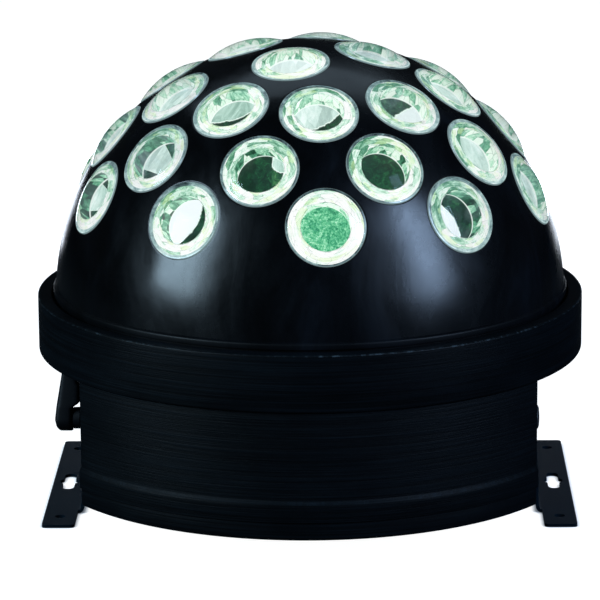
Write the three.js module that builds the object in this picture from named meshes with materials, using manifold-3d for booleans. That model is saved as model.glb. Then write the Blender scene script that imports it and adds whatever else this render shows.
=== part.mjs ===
// Half-ball LED effect light: a lens dome that turns on a flat-sided housing with two swinging feet.
// Millimetres, +Z up, front towards -Y, origin on the floor under the middle of the dome.

import * as THREE from 'three';
import { ConvexGeometry } from 'three/addons/geometries/ConvexGeometry.js';
import { mergeVertices } from 'three/addons/utils/BufferGeometryUtils.js';
import Module from 'manifold-3d';

const wasm = await Module();
wasm.setup();

// Clearances and drawing steps shared by the whole light
const seat = 0.3; // air between two pieces that rest on each other
const overrun = 5; // how far a cutting shape runs past what it cuts
const weldTolerance = 0.0005; // corners closer than this are one corner
const roundSteps = 40; // sides of the large round pieces
const plateSteps = 28; // sides of the chassis plate
const domeSteps = 40; // sides of the dome
const lensSteps = 11; // sides of a lens and of its seat
const frontArcSteps = 17; // steps of the housing's round front
const backArcSteps = 3; // steps of its two round back corners
const bendSteps = 3; // steps of a sheet bend
const roundEndSteps = 6; // steps of a round end
const roundBossSteps = 16; // sides of the pivot bosses
const smallSteps = 12; // sides of pins, bosses and holes
const tinySteps = 8; // sides of screw holes, posts and emitters

// Floor to housing
const sheet = 2; // steel sheet of the two feet
const underGap = 14; // from the top of the feet up to the base pan

// Housing
const bodyRadius = 170; // collar ring and skirt
const sideCut = 30.8; // depth of the slice that leaves each flat side
const rearCut = 28; // depth of the slice that leaves the flat back
const wallInset = 1.1; // the wall and the base band lie this far inside the skirt
const bandHeight = 10.7; // base band, below the skirt
const skirtHeight = 13.8; // thick skirt with its sloped upper edge
const skirtSlope = 3; // height of the sloped upper edge
const wallHeight = 53.3; // from the top of the skirt to the collar ring
const wallThickness = 2.5;
const panThickness = 2;

// Collar ring
const ringHeight = 34.9;
const ringWall = 3;
const ringWeb = 2.5; // floor of the ring, which closes the overhang at the flat sides
const ringWebWidth = 40; // width of that floor
const ringLip = 8.7; // flat top lip, measured inwards from the outer edge
const ringLipThickness = 2.4;
const ringEdge = 1.3; // bevel of the outer edges

// Dome
const domeInset = 11.2; // sphere inside the collar ring
const domeDrop = 3.1; // centre of the sphere below the top of the collar ring
const domeWall = 3;
const domeSkirt = 13.6; // straight foot below the centre of the sphere
const beadProud = 1.5; // bead that covers the running gap, beyond the sphere
const beadLift = 0.6; // air between the bead and the collar ring
const beadHeight = 4.4;
const fillStep = 10; // degrees between the sphere's own points
const innerFillStep = 18; // the same on its inside
const fillMargin = 3.2; // degrees that they keep from a lens

// Lenses
const lensShare = 0.15; // lens radius to dome radius
const lensFlange = 1.9; // thickness at the rim
const lensBulge = 5.4; // height of the convex front above the rim
const lensRim = 2.9; // width of the rim at the back, round the body
const lensTaper = 5.9; // how much the body narrows towards the flat window at the back
const lensDepth = 9; // from the rim back to that window
const lensLedge = 2.7; // width of the ledge under the rim
const seatDepth = 1.5; // rim pocket below the sphere, at the pocket's edge
const lensArcSteps = 2; // steps of the convex front
const rightAngle = 90; // degrees
const lensRows = [
  { latitude: 27.5, count: 10, turn: 4.7 },
  { latitude: 40.3, count: 10, turn: -13.3 },
  { latitude: 56, count: 10, turn: 4.7 },
  { latitude: 75, count: 4, turn: -14.7 },
];

// Feet
const footLength = 184;
const footWidth = 20;
const footBend = 4; // outer radius of the bend between foot and tab
const footCorner = 3;
const neckLength = 124; // length of the bend that joins foot and tab
const pivotHeight = 28; // pivot above the base pan's underside
const tabRadius = 14; // round top of the tab
const slotLength = 33;
const slotWidth = 7.5;
const slotEye = 12; // round widening in the middle of the slot
const footHole = 6.5;
const footHoleInset = 17.5; // middle of each hole, from the end of the foot

// Clamp lever and pivot bolt
const studRadius = 4;
const studReach = 14; // from the outer face of the tab into the housing
const bossRadius = 12; // round boss on the wall behind each tab
const collarRadius = 6.9;
const collarLength = 8.7;
const hubRadius = 8.2;
const hubLength = 11.4;
const hubCrown = 3; // drawn-in height at the lower outer corner of the hub
const armReach = 35; // from the pivot to the tip of the arm
const armTipRadius = 4.6;
const armTipOuter = 15.2; // outer face at the tip, from the tab
const armTipInner = 6.4; // inner face at the tip, from the tab
const armRootInner = 3.9; // inner face at the root, from the tab
const armRootHeight = 11; // where the inner face starts, above the pivot
const armStep = 1.2; // small step in the inner face
const boltHeadRadius = 8;
const boltHeadHeight = 2.6;
const crownShare = 0.75; // flat part of a crowned head or cap

// Turning drive
const shaftRadius = 4;
const spiderHubRadius = 13;
const spiderHubHeight = 10;
const spiderArmWidth = 16;
const spiderSheet = 3;
const spiderTab = 7; // turned-down end of each arm, below its underside
const spiderRise = 8; // underside of the arms above the foot of the dome
const spiderArms = 3;
const motorRadius = 25;
const motorHeight = 20;
const gearboxRadius = 30;
const gearboxHeight = 9;
const motorBossRadius = 9;
const motorBossHeight = 6;
const shaftGrip = 12; // length of the shaft inside the gearbox
const plateInset = 18; // plate's edge inside the collar ring's
const plateThickness = 2;
const plateBore = 11; // hole for the motor boss
const plateVentRadius = 13;
const plateVentInset = 47; // middle of each vent hole, from the plate's edge
const plateVents = 4;

// Light engine
const sinkRadius = 46;
const sinkCore = 38;
const sinkHeight = 12;
const sinkBore = 10.5;
const sinkFins = 18;
const sinkFinShare = 0.45; // part of each pitch that a fin fills
const emitterCircle = 26;
const emitterCount = 6;
const emitterRadius = 3;
const emitterBase = 0.6;
const ledBoardRadius = 36;

// Power supply
const supplyLength = 120;
const supplyWidth = 64;
const supplyHeight = 36;
const supplyBevel = 2;
const supplyFlange = 9;
const supplyFlangeThickness = 1.5;
const supplySlotWidth = 4.4;
const supplyOffset = 34; // middle of the supply in front of the middle of the light

// Rear panel and what it carries
const panelMargin = 5.5; // from each end of the panel to the end of the flat back
const panelHeight = 45;
const panelThickness = 1.5;
const panelCorner = 4;
const panelEndMargin = 8; // ends of the panel that overlap the wall
const panelEdgeMargin = 5; // long edges of the panel that overlap the wall
const socketFlangeWidth = 26;
const socketFlangeHeight = 31;
const socketFlangeThickness = 1.6;
const socketCorner = 3;
const socketBodyRadius = 11.8;
const socketBodyDepth = 20;
const socketCupRadius = 9.6;
const socketCupDepth = 14;
const pinRadius = 1.2;
const pinLength = 8;
const pinCircle = 4;
const contactRadius = 1.6;
const contactDepth = 12;
const socketKeyWidth = 2.4;
const inletWidth = 44;
const inletMargin = 7; // from the inlet's flange to the end of the panel
const inletHeight = 34;
const inletFlangeThickness = 2.4;
const inletBodyWidth = 30;
const inletBodyHeight = 30;
const inletBodyDepth = 24;
const plugWidth = 24.6;
const plugHeight = 16.4;
const plugCorner = 4.5; // clipped corners of the plug's outline
const plugDepth = 17;
const plugRise = 4.4; // middle of the plug's outline above the middle of the inlet
const bladeWidth = 4;
const bladeThickness = 2;
const bladeLength = 10;
const bladeSpacing = 14;
const bladeRise = 3;
const fuseWidth = 22;
const fuseHeight = 7;
const fuseDepth = 20;
const fuseFaceWidth = 24;
const fuseFaceHeight = 8.4;
const fuseFaceThickness = 1.8;
const fuseDrop = 10.2; // middle of the fuse drawer below the middle of the inlet
const displayWidth = 42;
const displayHeight = 17;
const displayLip = 1.6;
const displayDepth = 5;
const displayRise = 9.5;
const buttonRadius = 3.4;
const buttonProud = 2.6;
const buttonFlange = 4.6;
const buttonFlangeThickness = 1.2;
const buttonStem = 3;
const buttonSpacing = 9.8;
const buttonDrop = 9;
const buttonCount = 4;

// Control board
const boardLength = 52;
const boardHeight = 34;
const boardThickness = 1.6;
const boardGap = 10; // from the back of the panel to the board
const postRadius = 2.2;
const postInset = 4;
const switchSize = 6;
const switchHeight = 3.6;

// Screw holes
const screwRadius = 1.5;
const screwLength = 7;
const screwInset = 4; // from the panel's edges
const panScrewInset = 14; // from the skirt's surface
const panScrewAngles = [-125, -55, 46, 134];
const panPostRadius = 4.6;
const panPostHeight = 22;
const ventLength = 46;
const ventWidth = 4;
const ventPitch = 11;
const ventCount = 9;

// Radii and distances worked out from the sizes above
const sideFlat = bodyRadius - sideCut; // from the middle to a flat side of the skirt
const rearFlat = bodyRadius - rearCut; // from the middle to the flat back of the skirt
const ringBore = bodyRadius - ringWebWidth;
const domeRadius = bodyRadius - domeInset;
const beadRadius = domeRadius + beadProud;
const lensRadius = domeRadius * lensShare;
const lensBodyRadius = lensRadius - lensRim;
const lensBackRadius = lensBodyRadius - lensTaper;
const plateRadius = bodyRadius - plateInset;
const plateVentCircle = plateRadius - plateVentInset;
const panScrewCircle = bodyRadius - panScrewInset;
const tabInner = sideFlat + seat;
const tabOuter = tabInner + sheet;
const footInner = tabInner + footBend;
const footOuter = footInner + footWidth;

// Places along the rear panel, from its middle: mains inlet at one end, display at the other, sockets between
const panelLength = 2 * (Math.sqrt(bodyRadius ** 2 - rearFlat ** 2) - panelMargin);
const windowEnd = panelLength / 2 - panelEndMargin;
const inletPosition = panelLength / 2 - inletMargin - inletWidth / 2;
const displayPosition = boardLength / 2 - postInset + postRadius + seat - windowEnd;
const socketRoom = inletPosition - inletWidth / 2 - displayPosition - displayWidth / 2;
const socketGap = (socketRoom - 2 * socketFlangeWidth) / 3;
const outPosition = inletPosition - inletWidth / 2 - socketGap - socketFlangeWidth / 2;
const inPosition = outPosition - socketFlangeWidth - socketGap;

// Heights worked out from the sizes above, from the floor up
const panBottom = sheet + underGap;
const bandTop = panBottom + bandHeight;
const skirtTop = bandTop + skirtHeight;
const ringBottom = skirtTop + wallHeight;
const ringTop = ringBottom + ringHeight;
const domeCentre = ringTop - domeDrop;
const domeFoot = domeCentre - domeSkirt;
const plateBottom = ringBottom + ringWeb + seat;
const plateTop = plateBottom + plateThickness;
const sinkBottom = plateTop + seat;
const sinkTop = sinkBottom + sinkHeight;
const spiderBottom = domeFoot + spiderRise;
const pivotZ = panBottom + pivotHeight;
const panelMiddle = (skirtTop + ringBottom) / 2;
const panelBack = rearFlat - wallInset + seat;
const panelFace = panelBack + panelThickness;
const boardFace = panelBack - boardGap;

// Corners of a flat round outline, starting beside +X
function circle(radius, steps) {
  return Array.from({ length: steps }, (_, i) => {
    const angle = (i / steps) * 2 * Math.PI;
    return new THREE.Vector2(radius * Math.cos(angle), radius * Math.sin(angle));
  });
}

// Points of an arc, both ends included
function arc(radius, from, to, steps, centreX = 0, centreY = 0) {
  return Array.from({ length: steps + 1 }, (_, i) => {
    const angle = from + ((to - from) * i) / steps;
    return new THREE.Vector2(centreX + radius * Math.cos(angle), centreY + radius * Math.sin(angle));
  });
}

// Rectangle with round corners, around the origin
function roundedRectangle(width, height, corner, steps = 2) {
  const x = width / 2 - corner;
  const y = height / 2 - corner;
  const quarter = Math.PI / 2;
  return [
    ...arc(corner, 0, quarter, steps, x, y),
    ...arc(corner, quarter, 2 * quarter, steps, -x, y),
    ...arc(corner, 2 * quarter, 3 * quarter, steps, -x, -y),
    ...arc(corner, 3 * quarter, 4 * quarter, steps, x, -y),
  ];
}

// Outline round two circles on the Y axis, the lower one at the origin
function teardrop(lowRadius, highRadius, rise, steps) {
  const lean = Math.asin((lowRadius - highRadius) / rise);
  return [
    ...arc(highRadius, lean, Math.PI - lean, steps, 0, rise),
    ...arc(lowRadius, Math.PI - lean, 2 * Math.PI + lean, steps + 2),
  ];
}

// Housing outline: a circle cut off straight at both sides and at the back
function housingOutline(inset) {
  const radius = bodyRadius - inset;
  const side = sideFlat - inset;
  const back = rearFlat - inset;
  const sideAngle = Math.acos(side / radius);
  const backAngle = Math.asin(back / radius);
  return [
    ...arc(radius, sideAngle - Math.PI, -sideAngle, frontArcSteps),
    ...arc(radius, sideAngle, backAngle, backArcSteps),
    ...arc(radius, Math.PI - backAngle, Math.PI - sideAngle, backArcSteps),
  ];
}

// One closed body with shared corners and its faces pointing out
function weld(geometry) {
  const bare = geometry.clone();
  bare.deleteAttribute('normal');
  bare.deleteAttribute('uv');
  const merged = mergeVertices(bare, weldTolerance);
  const index = merged.getIndex().array;
  const kept = [];
  for (let i = 0; i < index.length; i += 3) {
    const [a, b, c] = [index[i], index[i + 1], index[i + 2]];
    if (a !== b && b !== c && c !== a) kept.push(a, b, c);
  }
  merged.setIndex(kept);
  return signedVolume(merged) < 0 ? turnedOut(merged) : merged;
}

function signedVolume(geometry) {
  const position = geometry.getAttribute('position');
  const index = geometry.getIndex().array;
  const [a, b, c] = [new THREE.Vector3(), new THREE.Vector3(), new THREE.Vector3()];
  let total = 0;
  for (let i = 0; i < index.length; i += 3) {
    a.fromBufferAttribute(position, index[i]);
    b.fromBufferAttribute(position, index[i + 1]);
    c.fromBufferAttribute(position, index[i + 2]);
    total += a.dot(b.cross(c)) / 6;
  }
  return total;
}

function turnedOut(geometry) {
  const index = Array.from(geometry.getIndex().array);
  for (let i = 0; i < index.length; i += 3) {
    [index[i], index[i + 1]] = [index[i + 1], index[i]];
  }
  geometry.setIndex(index);
  return geometry;
}

function toSolid(geometry) {
  const closed = weld(geometry);
  return new wasm.Manifold(
    new wasm.Mesh({
      numProp: 3,
      vertProperties: new Float32Array(closed.getAttribute('position').array),
      triVerts: new Uint32Array(closed.getIndex().array),
    }),
  );
}

function toGeometry(solid) {
  const mesh = solid.getMesh();
  const geometry = new THREE.BufferGeometry();
  geometry.setAttribute('position', new THREE.BufferAttribute(new Float32Array(mesh.vertProperties), 3));
  geometry.setIndex(new THREE.BufferAttribute(new Uint32Array(mesh.triVerts), 1));
  return geometry;
}

function join(...geometries) {
  return toGeometry(geometries.map(toSolid).reduce((whole, piece) => whole.add(piece)));
}

function cut(geometry, ...tools) {
  return toGeometry(tools.map(toSolid).reduce((whole, tool) => whole.subtract(tool), toSolid(geometry)));
}

function common(...geometries) {
  return toGeometry(geometries.map(toSolid).reduce((whole, piece) => whole.intersect(piece)));
}

// Round body about Z from a profile of [radius, height] pairs
function revolve(profile, steps) {
  const points = profile.map(([radius, height]) => new THREE.Vector2(radius, height));
  const geometry = new THREE.LatheGeometry(points, steps);
  geometry.rotateX(Math.PI / 2);
  geometry.rotateZ(Math.PI / 2);
  return weld(geometry);
}

// Ring about Z: the profile closes on itself
function revolveRing(profile, steps) {
  return revolve([...profile, profile[0]], steps);
}

// Outline in the XY plane raised from one height to another
function raise(outline, bottom, top, holes = []) {
  const shape = new THREE.Shape(outline);
  shape.holes = holes.map((hole) => new THREE.Path(hole));
  const geometry = new THREE.ExtrudeGeometry(shape, { depth: top - bottom, bevelEnabled: false });
  geometry.translate(0, 0, bottom);
  return weld(geometry);
}

// The same, drawn in the XZ plane and carried along Y
function raiseAlongY(outline, near, far, holes = []) {
  const geometry = raise(outline, -far, -near, holes);
  geometry.rotateX(Math.PI / 2);
  return geometry;
}

// The same, drawn in the YZ plane and carried along X
function raiseAlongX(outline, near, far, holes = []) {
  const geometry = raise(outline, near, far, holes);
  geometry.rotateX(Math.PI / 2);
  geometry.rotateZ(Math.PI / 2);
  return geometry;
}

function cylinder(radius, bottom, top, steps = smallSteps) {
  return raise(circle(radius, steps), bottom, top);
}

function cylinderAlongY(radius, near, far, steps = smallSteps) {
  return raiseAlongY(circle(radius, steps), near, far);
}

function cylinderAlongX(radius, near, far, steps = smallSteps) {
  return raiseAlongX(circle(radius, steps), near, far);
}

function box(width, depth, height) {
  return weld(new THREE.BoxGeometry(width, depth, height));
}

function moved(geometry, x, y, z) {
  geometry.translate(x, y, z);
  return geometry;
}

function rectangle(width, height) {
  const [x, y] = [width / 2, height / 2];
  return [
    new THREE.Vector2(-x, -y),
    new THREE.Vector2(x, -y),
    new THREE.Vector2(x, y),
    new THREE.Vector2(-x, y),
  ];
}

// Solid skinned over a stack of convex outlines with as many points each
function loft(sections) {
  const count = sections[0].outline.length;
  const position = sections.flatMap(({ outline, height }) => outline.flatMap(({ x, y }) => [x, y, height]));
  const index = [];
  for (let level = 0; level + 1 < sections.length; level += 1) {
    for (let i = 0; i < count; i += 1) {
      const a = level * count + i;
      const b = level * count + ((i + 1) % count);
      index.push(a, b, b + count, a, b + count, a + count);
    }
  }
  const last = (sections.length - 1) * count;
  for (let i = 1; i + 1 < count; i += 1) {
    index.push(0, i + 1, i, last, last + i, last + i + 1);
  }
  const geometry = new THREE.BufferGeometry();
  geometry.setAttribute('position', new THREE.Float32BufferAttribute(position, 3));
  geometry.setIndex(index);
  return weld(geometry);
}

function degrees(angle) {
  return THREE.MathUtils.degToRad(angle);
}

// Distance from the middle to the flats of a faceted round wall
function acrossFlats(radius, steps) {
  return radius * Math.cos(Math.PI / steps);
}

const light = new THREE.Group();

const finishes = {
  domeBlack: { color: 0x0b0d11, roughness: 0.22, metalness: 0 },
  housingBlack: { color: 0x0a0d10, roughness: 0.45, metalness: 0 },
  footBlack: { color: 0x11151a, roughness: 0.5, metalness: 0.4 },
  leverBlack: { color: 0x0c0d0f, roughness: 0.55, metalness: 0 },
  clearLens: { color: 0xd8f2e2, roughness: 0.05, metalness: 0 },
  blackSteel: { color: 0x15171a, roughness: 0.4, metalness: 0.6 },
  plainSteel: { color: 0x9a9ea3, roughness: 0.35, metalness: 1 },
  aluminium: { color: 0xb4b8bb, roughness: 0.4, metalness: 1 },
  warmWhite: { color: 0xf4f4e6, roughness: 0.3, metalness: 0 },
  boardGreen: { color: 0x1c5a36, roughness: 0.5, metalness: 0 },
  smoked: { color: 0x1a0d0d, roughness: 0.1, metalness: 0 },
  buttonGrey: { color: 0x2c2e31, roughness: 0.5, metalness: 0 },
};

function place(name, geometry, finish, parent = light) {
  const mesh = new THREE.Mesh(geometry, new THREE.MeshStandardMaterial(finishes[finish]));
  mesh.name = name;
  parent.add(mesh);
  return mesh;
}

// Base pan: floor with ventilation slots and an upstanding band under the skirt
function basePan() {
  const band = loft([
    { outline: housingOutline(wallInset), height: panBottom },
    { outline: housingOutline(wallInset), height: bandTop },
  ]);
  const hollow = loft([
    { outline: housingOutline(wallInset + wallThickness), height: panBottom + panThickness },
    { outline: housingOutline(wallInset + wallThickness), height: bandTop + overrun },
  ]);
  const vents = Array.from({ length: ventCount }, (_, i) => {
    const slot = raise(rectangle(ventWidth, ventLength), panBottom - overrun, panBottom + overrun);
    return moved(slot, (i - (ventCount - 1) / 2) * ventPitch, -supplyOffset - supplyWidth, 0);
  });
  const holes = panScrewPlaces().map(([x, y]) =>
    moved(cylinder(screwRadius + seat, panBottom - overrun, panBottom + overrun, tinySteps), x, y, 0),
  );
  return cut(band, hollow, ...vents, ...holes);
}

function panScrewPlaces() {
  return panScrewAngles.map((angle) => [
    panScrewCircle * Math.cos(degrees(angle)),
    panScrewCircle * Math.sin(degrees(angle)),
  ]);
}

// Housing wall: skirt with a sloped edge, thin wall above it, a boss at each pivot and screw posts
function sideWall() {
  const bottom = bandTop + seat;
  const top = ringBottom - seat;
  const outer = loft([
    { outline: housingOutline(0), height: bottom },
    { outline: housingOutline(0), height: skirtTop - skirtSlope },
    { outline: housingOutline(wallInset), height: skirtTop },
    { outline: housingOutline(wallInset), height: top },
  ]);
  const inner = loft([
    { outline: housingOutline(wallInset + wallThickness), height: bottom - overrun },
    { outline: housingOutline(wallInset + wallThickness), height: top + overrun },
  ]);
  const shell = cut(outer, inner);
  const bosses = [-1, 1].map((side) => {
    const inside = side * (sideFlat - wallInset - wallThickness);
    const outside = side * sideFlat;
    const [near, far] = [Math.min(inside, outside), Math.max(inside, outside)];
    const boss = cylinderAlongX(bossRadius, near, far, roundBossSteps);
    return moved(boss, 0, 0, pivotZ);
  });
  const postTop = panBottom + panThickness + seat + panPostHeight;
  const posts = panScrewPlaces().map(([x, y]) =>
    moved(cylinder(panPostRadius, panBottom + panThickness + seat, postTop, tinySteps), x, y, 0),
  );
  const ribs = panScrewPlaces().map(([x, y]) => postRib(x, y, bandTop + seat, postTop));
  const studHole = moved(
    cylinderAlongX(studRadius + seat, -bodyRadius, bodyRadius),
    0,
    0,
    pivotZ,
  );
  const window = moved(
    box(2 * windowEnd, 2 * wallThickness + overrun, panelHeight - 2 * panelEdgeMargin),
    0,
    rearFlat - wallInset - wallThickness / 2,
    panelMiddle,
  );
  const postHoles = panScrewPlaces().map(([x, y]) =>
    moved(cylinder(screwRadius + seat, panBottom, panBottom + screwLength + seat, tinySteps), x, y, 0),
  );
  const panelHoles = panelScrewPlaces().map(([x, z]) =>
    moved(cylinderAlongY(screwRadius + seat, rearFlat - screwLength - overrun, rearFlat, tinySteps), x, 0, z),
  );
  return cut(join(shell, ...bosses, ...posts, ...ribs), studHole, window, ...postHoles, ...panelHoles);
}

// Web that ties a screw post to the inside of the wall
function postRib(x, y, bottom, top) {
  const reach = bodyRadius - wallInset - wallThickness / 2 - panScrewCircle;
  const rib = box(reach, 2 * screwRadius, top - bottom);
  rib.translate(panScrewCircle + reach / 2, 0, (bottom + top) / 2);
  rib.rotateZ(Math.atan2(y, x));
  return rib;
}

// Collar ring: C-shaped section, open to the dome's foot
function topRing() {
  const inner = bodyRadius - ringWall;
  const lip = bodyRadius - ringLip;
  return revolveRing(
    [
      [ringBore, ringBottom],
      [bodyRadius - ringEdge, ringBottom],
      [bodyRadius, ringBottom + ringEdge],
      [bodyRadius, ringTop - ringEdge],
      [bodyRadius - ringEdge, ringTop],
      [lip, ringTop],
      [lip, ringTop - ringLipThickness],
      [inner, ringTop - ringLipThickness],
      [inner, ringBottom + ringWeb],
      [ringBore, ringBottom + ringWeb],
    ],
    roundSteps,
  );
}

// Where each lens looks: rows of equal latitude, azimuth counted from the front towards +X
function lensDirections() {
  return lensRows.flatMap(({ latitude, count, turn }) =>
    Array.from({ length: count }, (_, i) => {
      const azimuth = degrees(turn) + (i / count) * 2 * Math.PI;
      const level = Math.cos(degrees(latitude));
      return new THREE.Vector3(
        level * Math.sin(azimuth),
        -level * Math.cos(azimuth),
        Math.sin(degrees(latitude)),
      );
    }),
  );
}

const pocketRadius = lensRadius + seat;
const seatRadius = pocketRadius - lensLedge; // clear hole behind the rim
const pocketFloor = planeOf(pocketRadius, domeRadius) - seatDepth;

// Distance of a circle's plane from the centre of the sphere that it lies on
function planeOf(radius, sphereRadius) {
  return Math.sqrt(sphereRadius ** 2 - radius ** 2);
}

function turnTo(direction) {
  return new THREE.Quaternion().setFromUnitVectors(new THREE.Vector3(0, 0, 1), direction);
}

// Corners of a ring about a lens axis, or about Z where no axis is given
function ringOf(radius, height, steps, axis = new THREE.Vector3(0, 0, 1)) {
  const turn = turnTo(axis);
  return circle(radius, steps).map(({ x, y }) => new THREE.Vector3(x, y, height).applyQuaternion(turn));
}

// Band of triangles between two rings of as many corners
function band(from, to) {
  return from.flatMap((corner, i) => {
    const next = (i + 1) % from.length;
    return [corner, from[next], to[next], corner, to[next], to[i]];
  });
}

// A chain of rings joined by bands
function chain(rings) {
  return rings.slice(1).flatMap((ring, i) => band(rings[i], ring));
}

// Points of the bare sphere between the lenses, on an even grid of latitude and azimuth
function fillPoints(radius, floor, openingRadius, step) {
  const reach = Math.asin(openingRadius / radius) + degrees(fillMargin);
  const points = [];
  for (let latitude = floor; latitude < rightAngle; latitude += step) {
    const count = Math.max(4, Math.round((4 * rightAngle * Math.cos(degrees(latitude))) / step));
    for (let i = 0; i < count; i += 1) {
      const azimuth = (i / count) * 2 * Math.PI;
      const level = radius * Math.cos(degrees(latitude));
      const height = radius * Math.sin(degrees(latitude));
      const point = new THREE.Vector3(level * Math.cos(azimuth), level * Math.sin(azimuth), height);
      if (lensDirections().every((direction) => direction.angleTo(point) > reach)) points.push(point);
    }
  }
  return points;
}

// Sphere skin with an opening round every lens axis and an open foot: the hull of all its corners,
// without the flat caps that close the openings
function sphereSkin(radius, openings, openingRadius, foot, footHeight, step) {
  const floor = THREE.MathUtils.radToDeg(Math.asin(footHeight / radius)) + step;
  const fill = fillPoints(radius, floor, openingRadius, step);
  const hull = new ConvexGeometry([...openings.flat(), ...foot, ...fill]);
  const position = hull.getAttribute('position');
  const capPlane = planeOf(openingRadius, radius) - weldTolerance;
  const directions = lensDirections();
  const skin = [];
  for (let i = 0; i < position.count; i += 3) {
    const corners = [0, 1, 2].map((k) => new THREE.Vector3().fromBufferAttribute(position, i + k));
    const closesLens = directions.some((axis) => corners.every((corner) => corner.dot(axis) > capPlane));
    const closesFoot = corners.every((corner) => corner.z < footHeight + weldTolerance);
    if (!closesLens && !closesFoot) skin.push(...corners);
  }
  return skin;
}

// Dome: spherical shell with a bead over the running gap, a straight foot and a stepped seat per lens
function domeShell() {
  const beadBottom = ringTop + beadLift - domeCentre;
  const beadTop = beadBottom + beadHeight;
  const inside = domeRadius - domeWall;
  const directions = lensDirections();
  const outerRings = directions.map((axis) =>
    ringOf(pocketRadius, planeOf(pocketRadius, domeRadius), lensSteps, axis),
  );
  const innerRings = directions.map((axis) =>
    ringOf(seatRadius, planeOf(seatRadius, inside), lensSteps, axis),
  );
  const outerFoot = ringOf(planeOf(beadTop, domeRadius), beadTop, domeSteps);
  const innerFoot = ringOf(inside, 0, domeSteps);
  const outer = sphereSkin(domeRadius, outerRings, pocketRadius, outerFoot, beadTop, fillStep);
  const inner = sphereSkin(inside, innerRings, seatRadius, innerFoot, 0, innerFillStep);
  const seats = directions.flatMap((axis, i) =>
    chain([
      outerRings[i],
      ringOf(pocketRadius, pocketFloor, lensSteps, axis),
      ringOf(seatRadius, pocketFloor, lensSteps, axis),
      innerRings[i],
    ]),
  );
  const foot = chain([
    innerFoot,
    ringOf(inside, -domeSkirt, domeSteps),
    ringOf(domeRadius, -domeSkirt, domeSteps),
    ringOf(domeRadius, beadBottom, domeSteps),
    ringOf(beadRadius, beadBottom, domeSteps),
    ringOf(beadRadius, beadTop, domeSteps),
    outerFoot,
  ]);
  const corners = [...outer, ...inner.reverse(), ...seats, ...foot];
  const geometry = new THREE.BufferGeometry().setFromPoints(corners);
  return weld(geometry);
}

// Lens: flat rim, convex front and a body that narrows to a flat window at the back
function lens() {
  const curve = (lensRadius ** 2 + lensBulge ** 2) / (2 * lensBulge);
  const sweep = Math.asin(lensRadius / curve);
  const front = Array.from({ length: lensArcSteps + 1 }, (_, i) => {
    const angle = sweep * (1 - i / lensArcSteps);
    const fromAxis = i === lensArcSteps ? 0 : curve * Math.sin(angle);
    return [fromAxis, lensFlange + lensBulge - curve * (1 - Math.cos(angle))];
  });
  return revolve(
    [[0, -lensDepth], [lensBackRadius, -lensDepth], [lensBodyRadius, 0], [lensRadius, 0], ...front],
    lensSteps,
  );
}

// Foot bracket for the right side: flat foot, bend and tapered tab with a pivot hole
function bracket() {
  const bendIn = footBend - sheet;
  const tabTop = pivotZ + tabRadius;
  const section = [
    new THREE.Vector2(footOuter, 0),
    new THREE.Vector2(footOuter, sheet),
    ...arc(bendIn, -Math.PI / 2, -Math.PI, bendSteps, footInner, sheet + bendIn),
    new THREE.Vector2(tabOuter, tabTop),
    new THREE.Vector2(tabInner, tabTop),
    ...arc(footBend, -Math.PI, -Math.PI / 2, bendSteps, footInner, footBend),
  ];
  const bent = raiseAlongY(section, -footLength / 2, footLength / 2);
  const foot = moved(
    raise(roundedRectangle(footWidth, footLength, footCorner), -overrun, tabTop + overrun),
    (footOuter + footInner) / 2,
    0,
    0,
  );
  const neck = moved(
    raise(rectangle(footBend + 2 * footCorner, neckLength), -overrun, tabTop + overrun),
    (footInner + tabInner) / 2 + footCorner / 2,
    0,
    0,
  );
  const lean = Math.atan2(neckLength / 2 - tabRadius, pivotZ - footBend);
  const side = raiseAlongX(
    [
      new THREE.Vector2(-footLength / 2, -overrun),
      new THREE.Vector2(footLength / 2, -overrun),
      new THREE.Vector2(footLength / 2, footBend),
      new THREE.Vector2(neckLength / 2, footBend),
      ...arc(tabRadius, Math.PI / 2 - lean, Math.PI / 2 + lean, roundEndSteps, 0, pivotZ),
      new THREE.Vector2(-neckLength / 2, footBend),
      new THREE.Vector2(-footLength / 2, footBend),
    ],
    tabInner - overrun,
    footOuter + overrun,
  );
  const middle = (footOuter + footInner) / 2;
  const slot = moved(
    raise(roundedRectangle(slotWidth, slotLength, slotWidth / 2, bendSteps), -overrun, overrun),
    middle,
    0,
    0,
  );
  const eye = moved(cylinder(slotEye / 2, -overrun, overrun), middle, 0, 0);
  const holes = [-1, 1].map((end) =>
    moved(cylinder(footHole / 2, -overrun, overrun), middle, end * (footLength / 2 - footHoleInset), 0),
  );
  const bore = cylinderAlongX(studRadius + seat, tabInner - overrun, tabOuter + overrun);
  const pivotHole = moved(bore, 0, 0, pivotZ);
  return cut(common(bent, join(foot, neck), side), slot, eye, ...holes, pivotHole);
}

function turnedRound(geometry) {
  geometry.rotateZ(Math.PI);
  return geometry;
}

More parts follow.
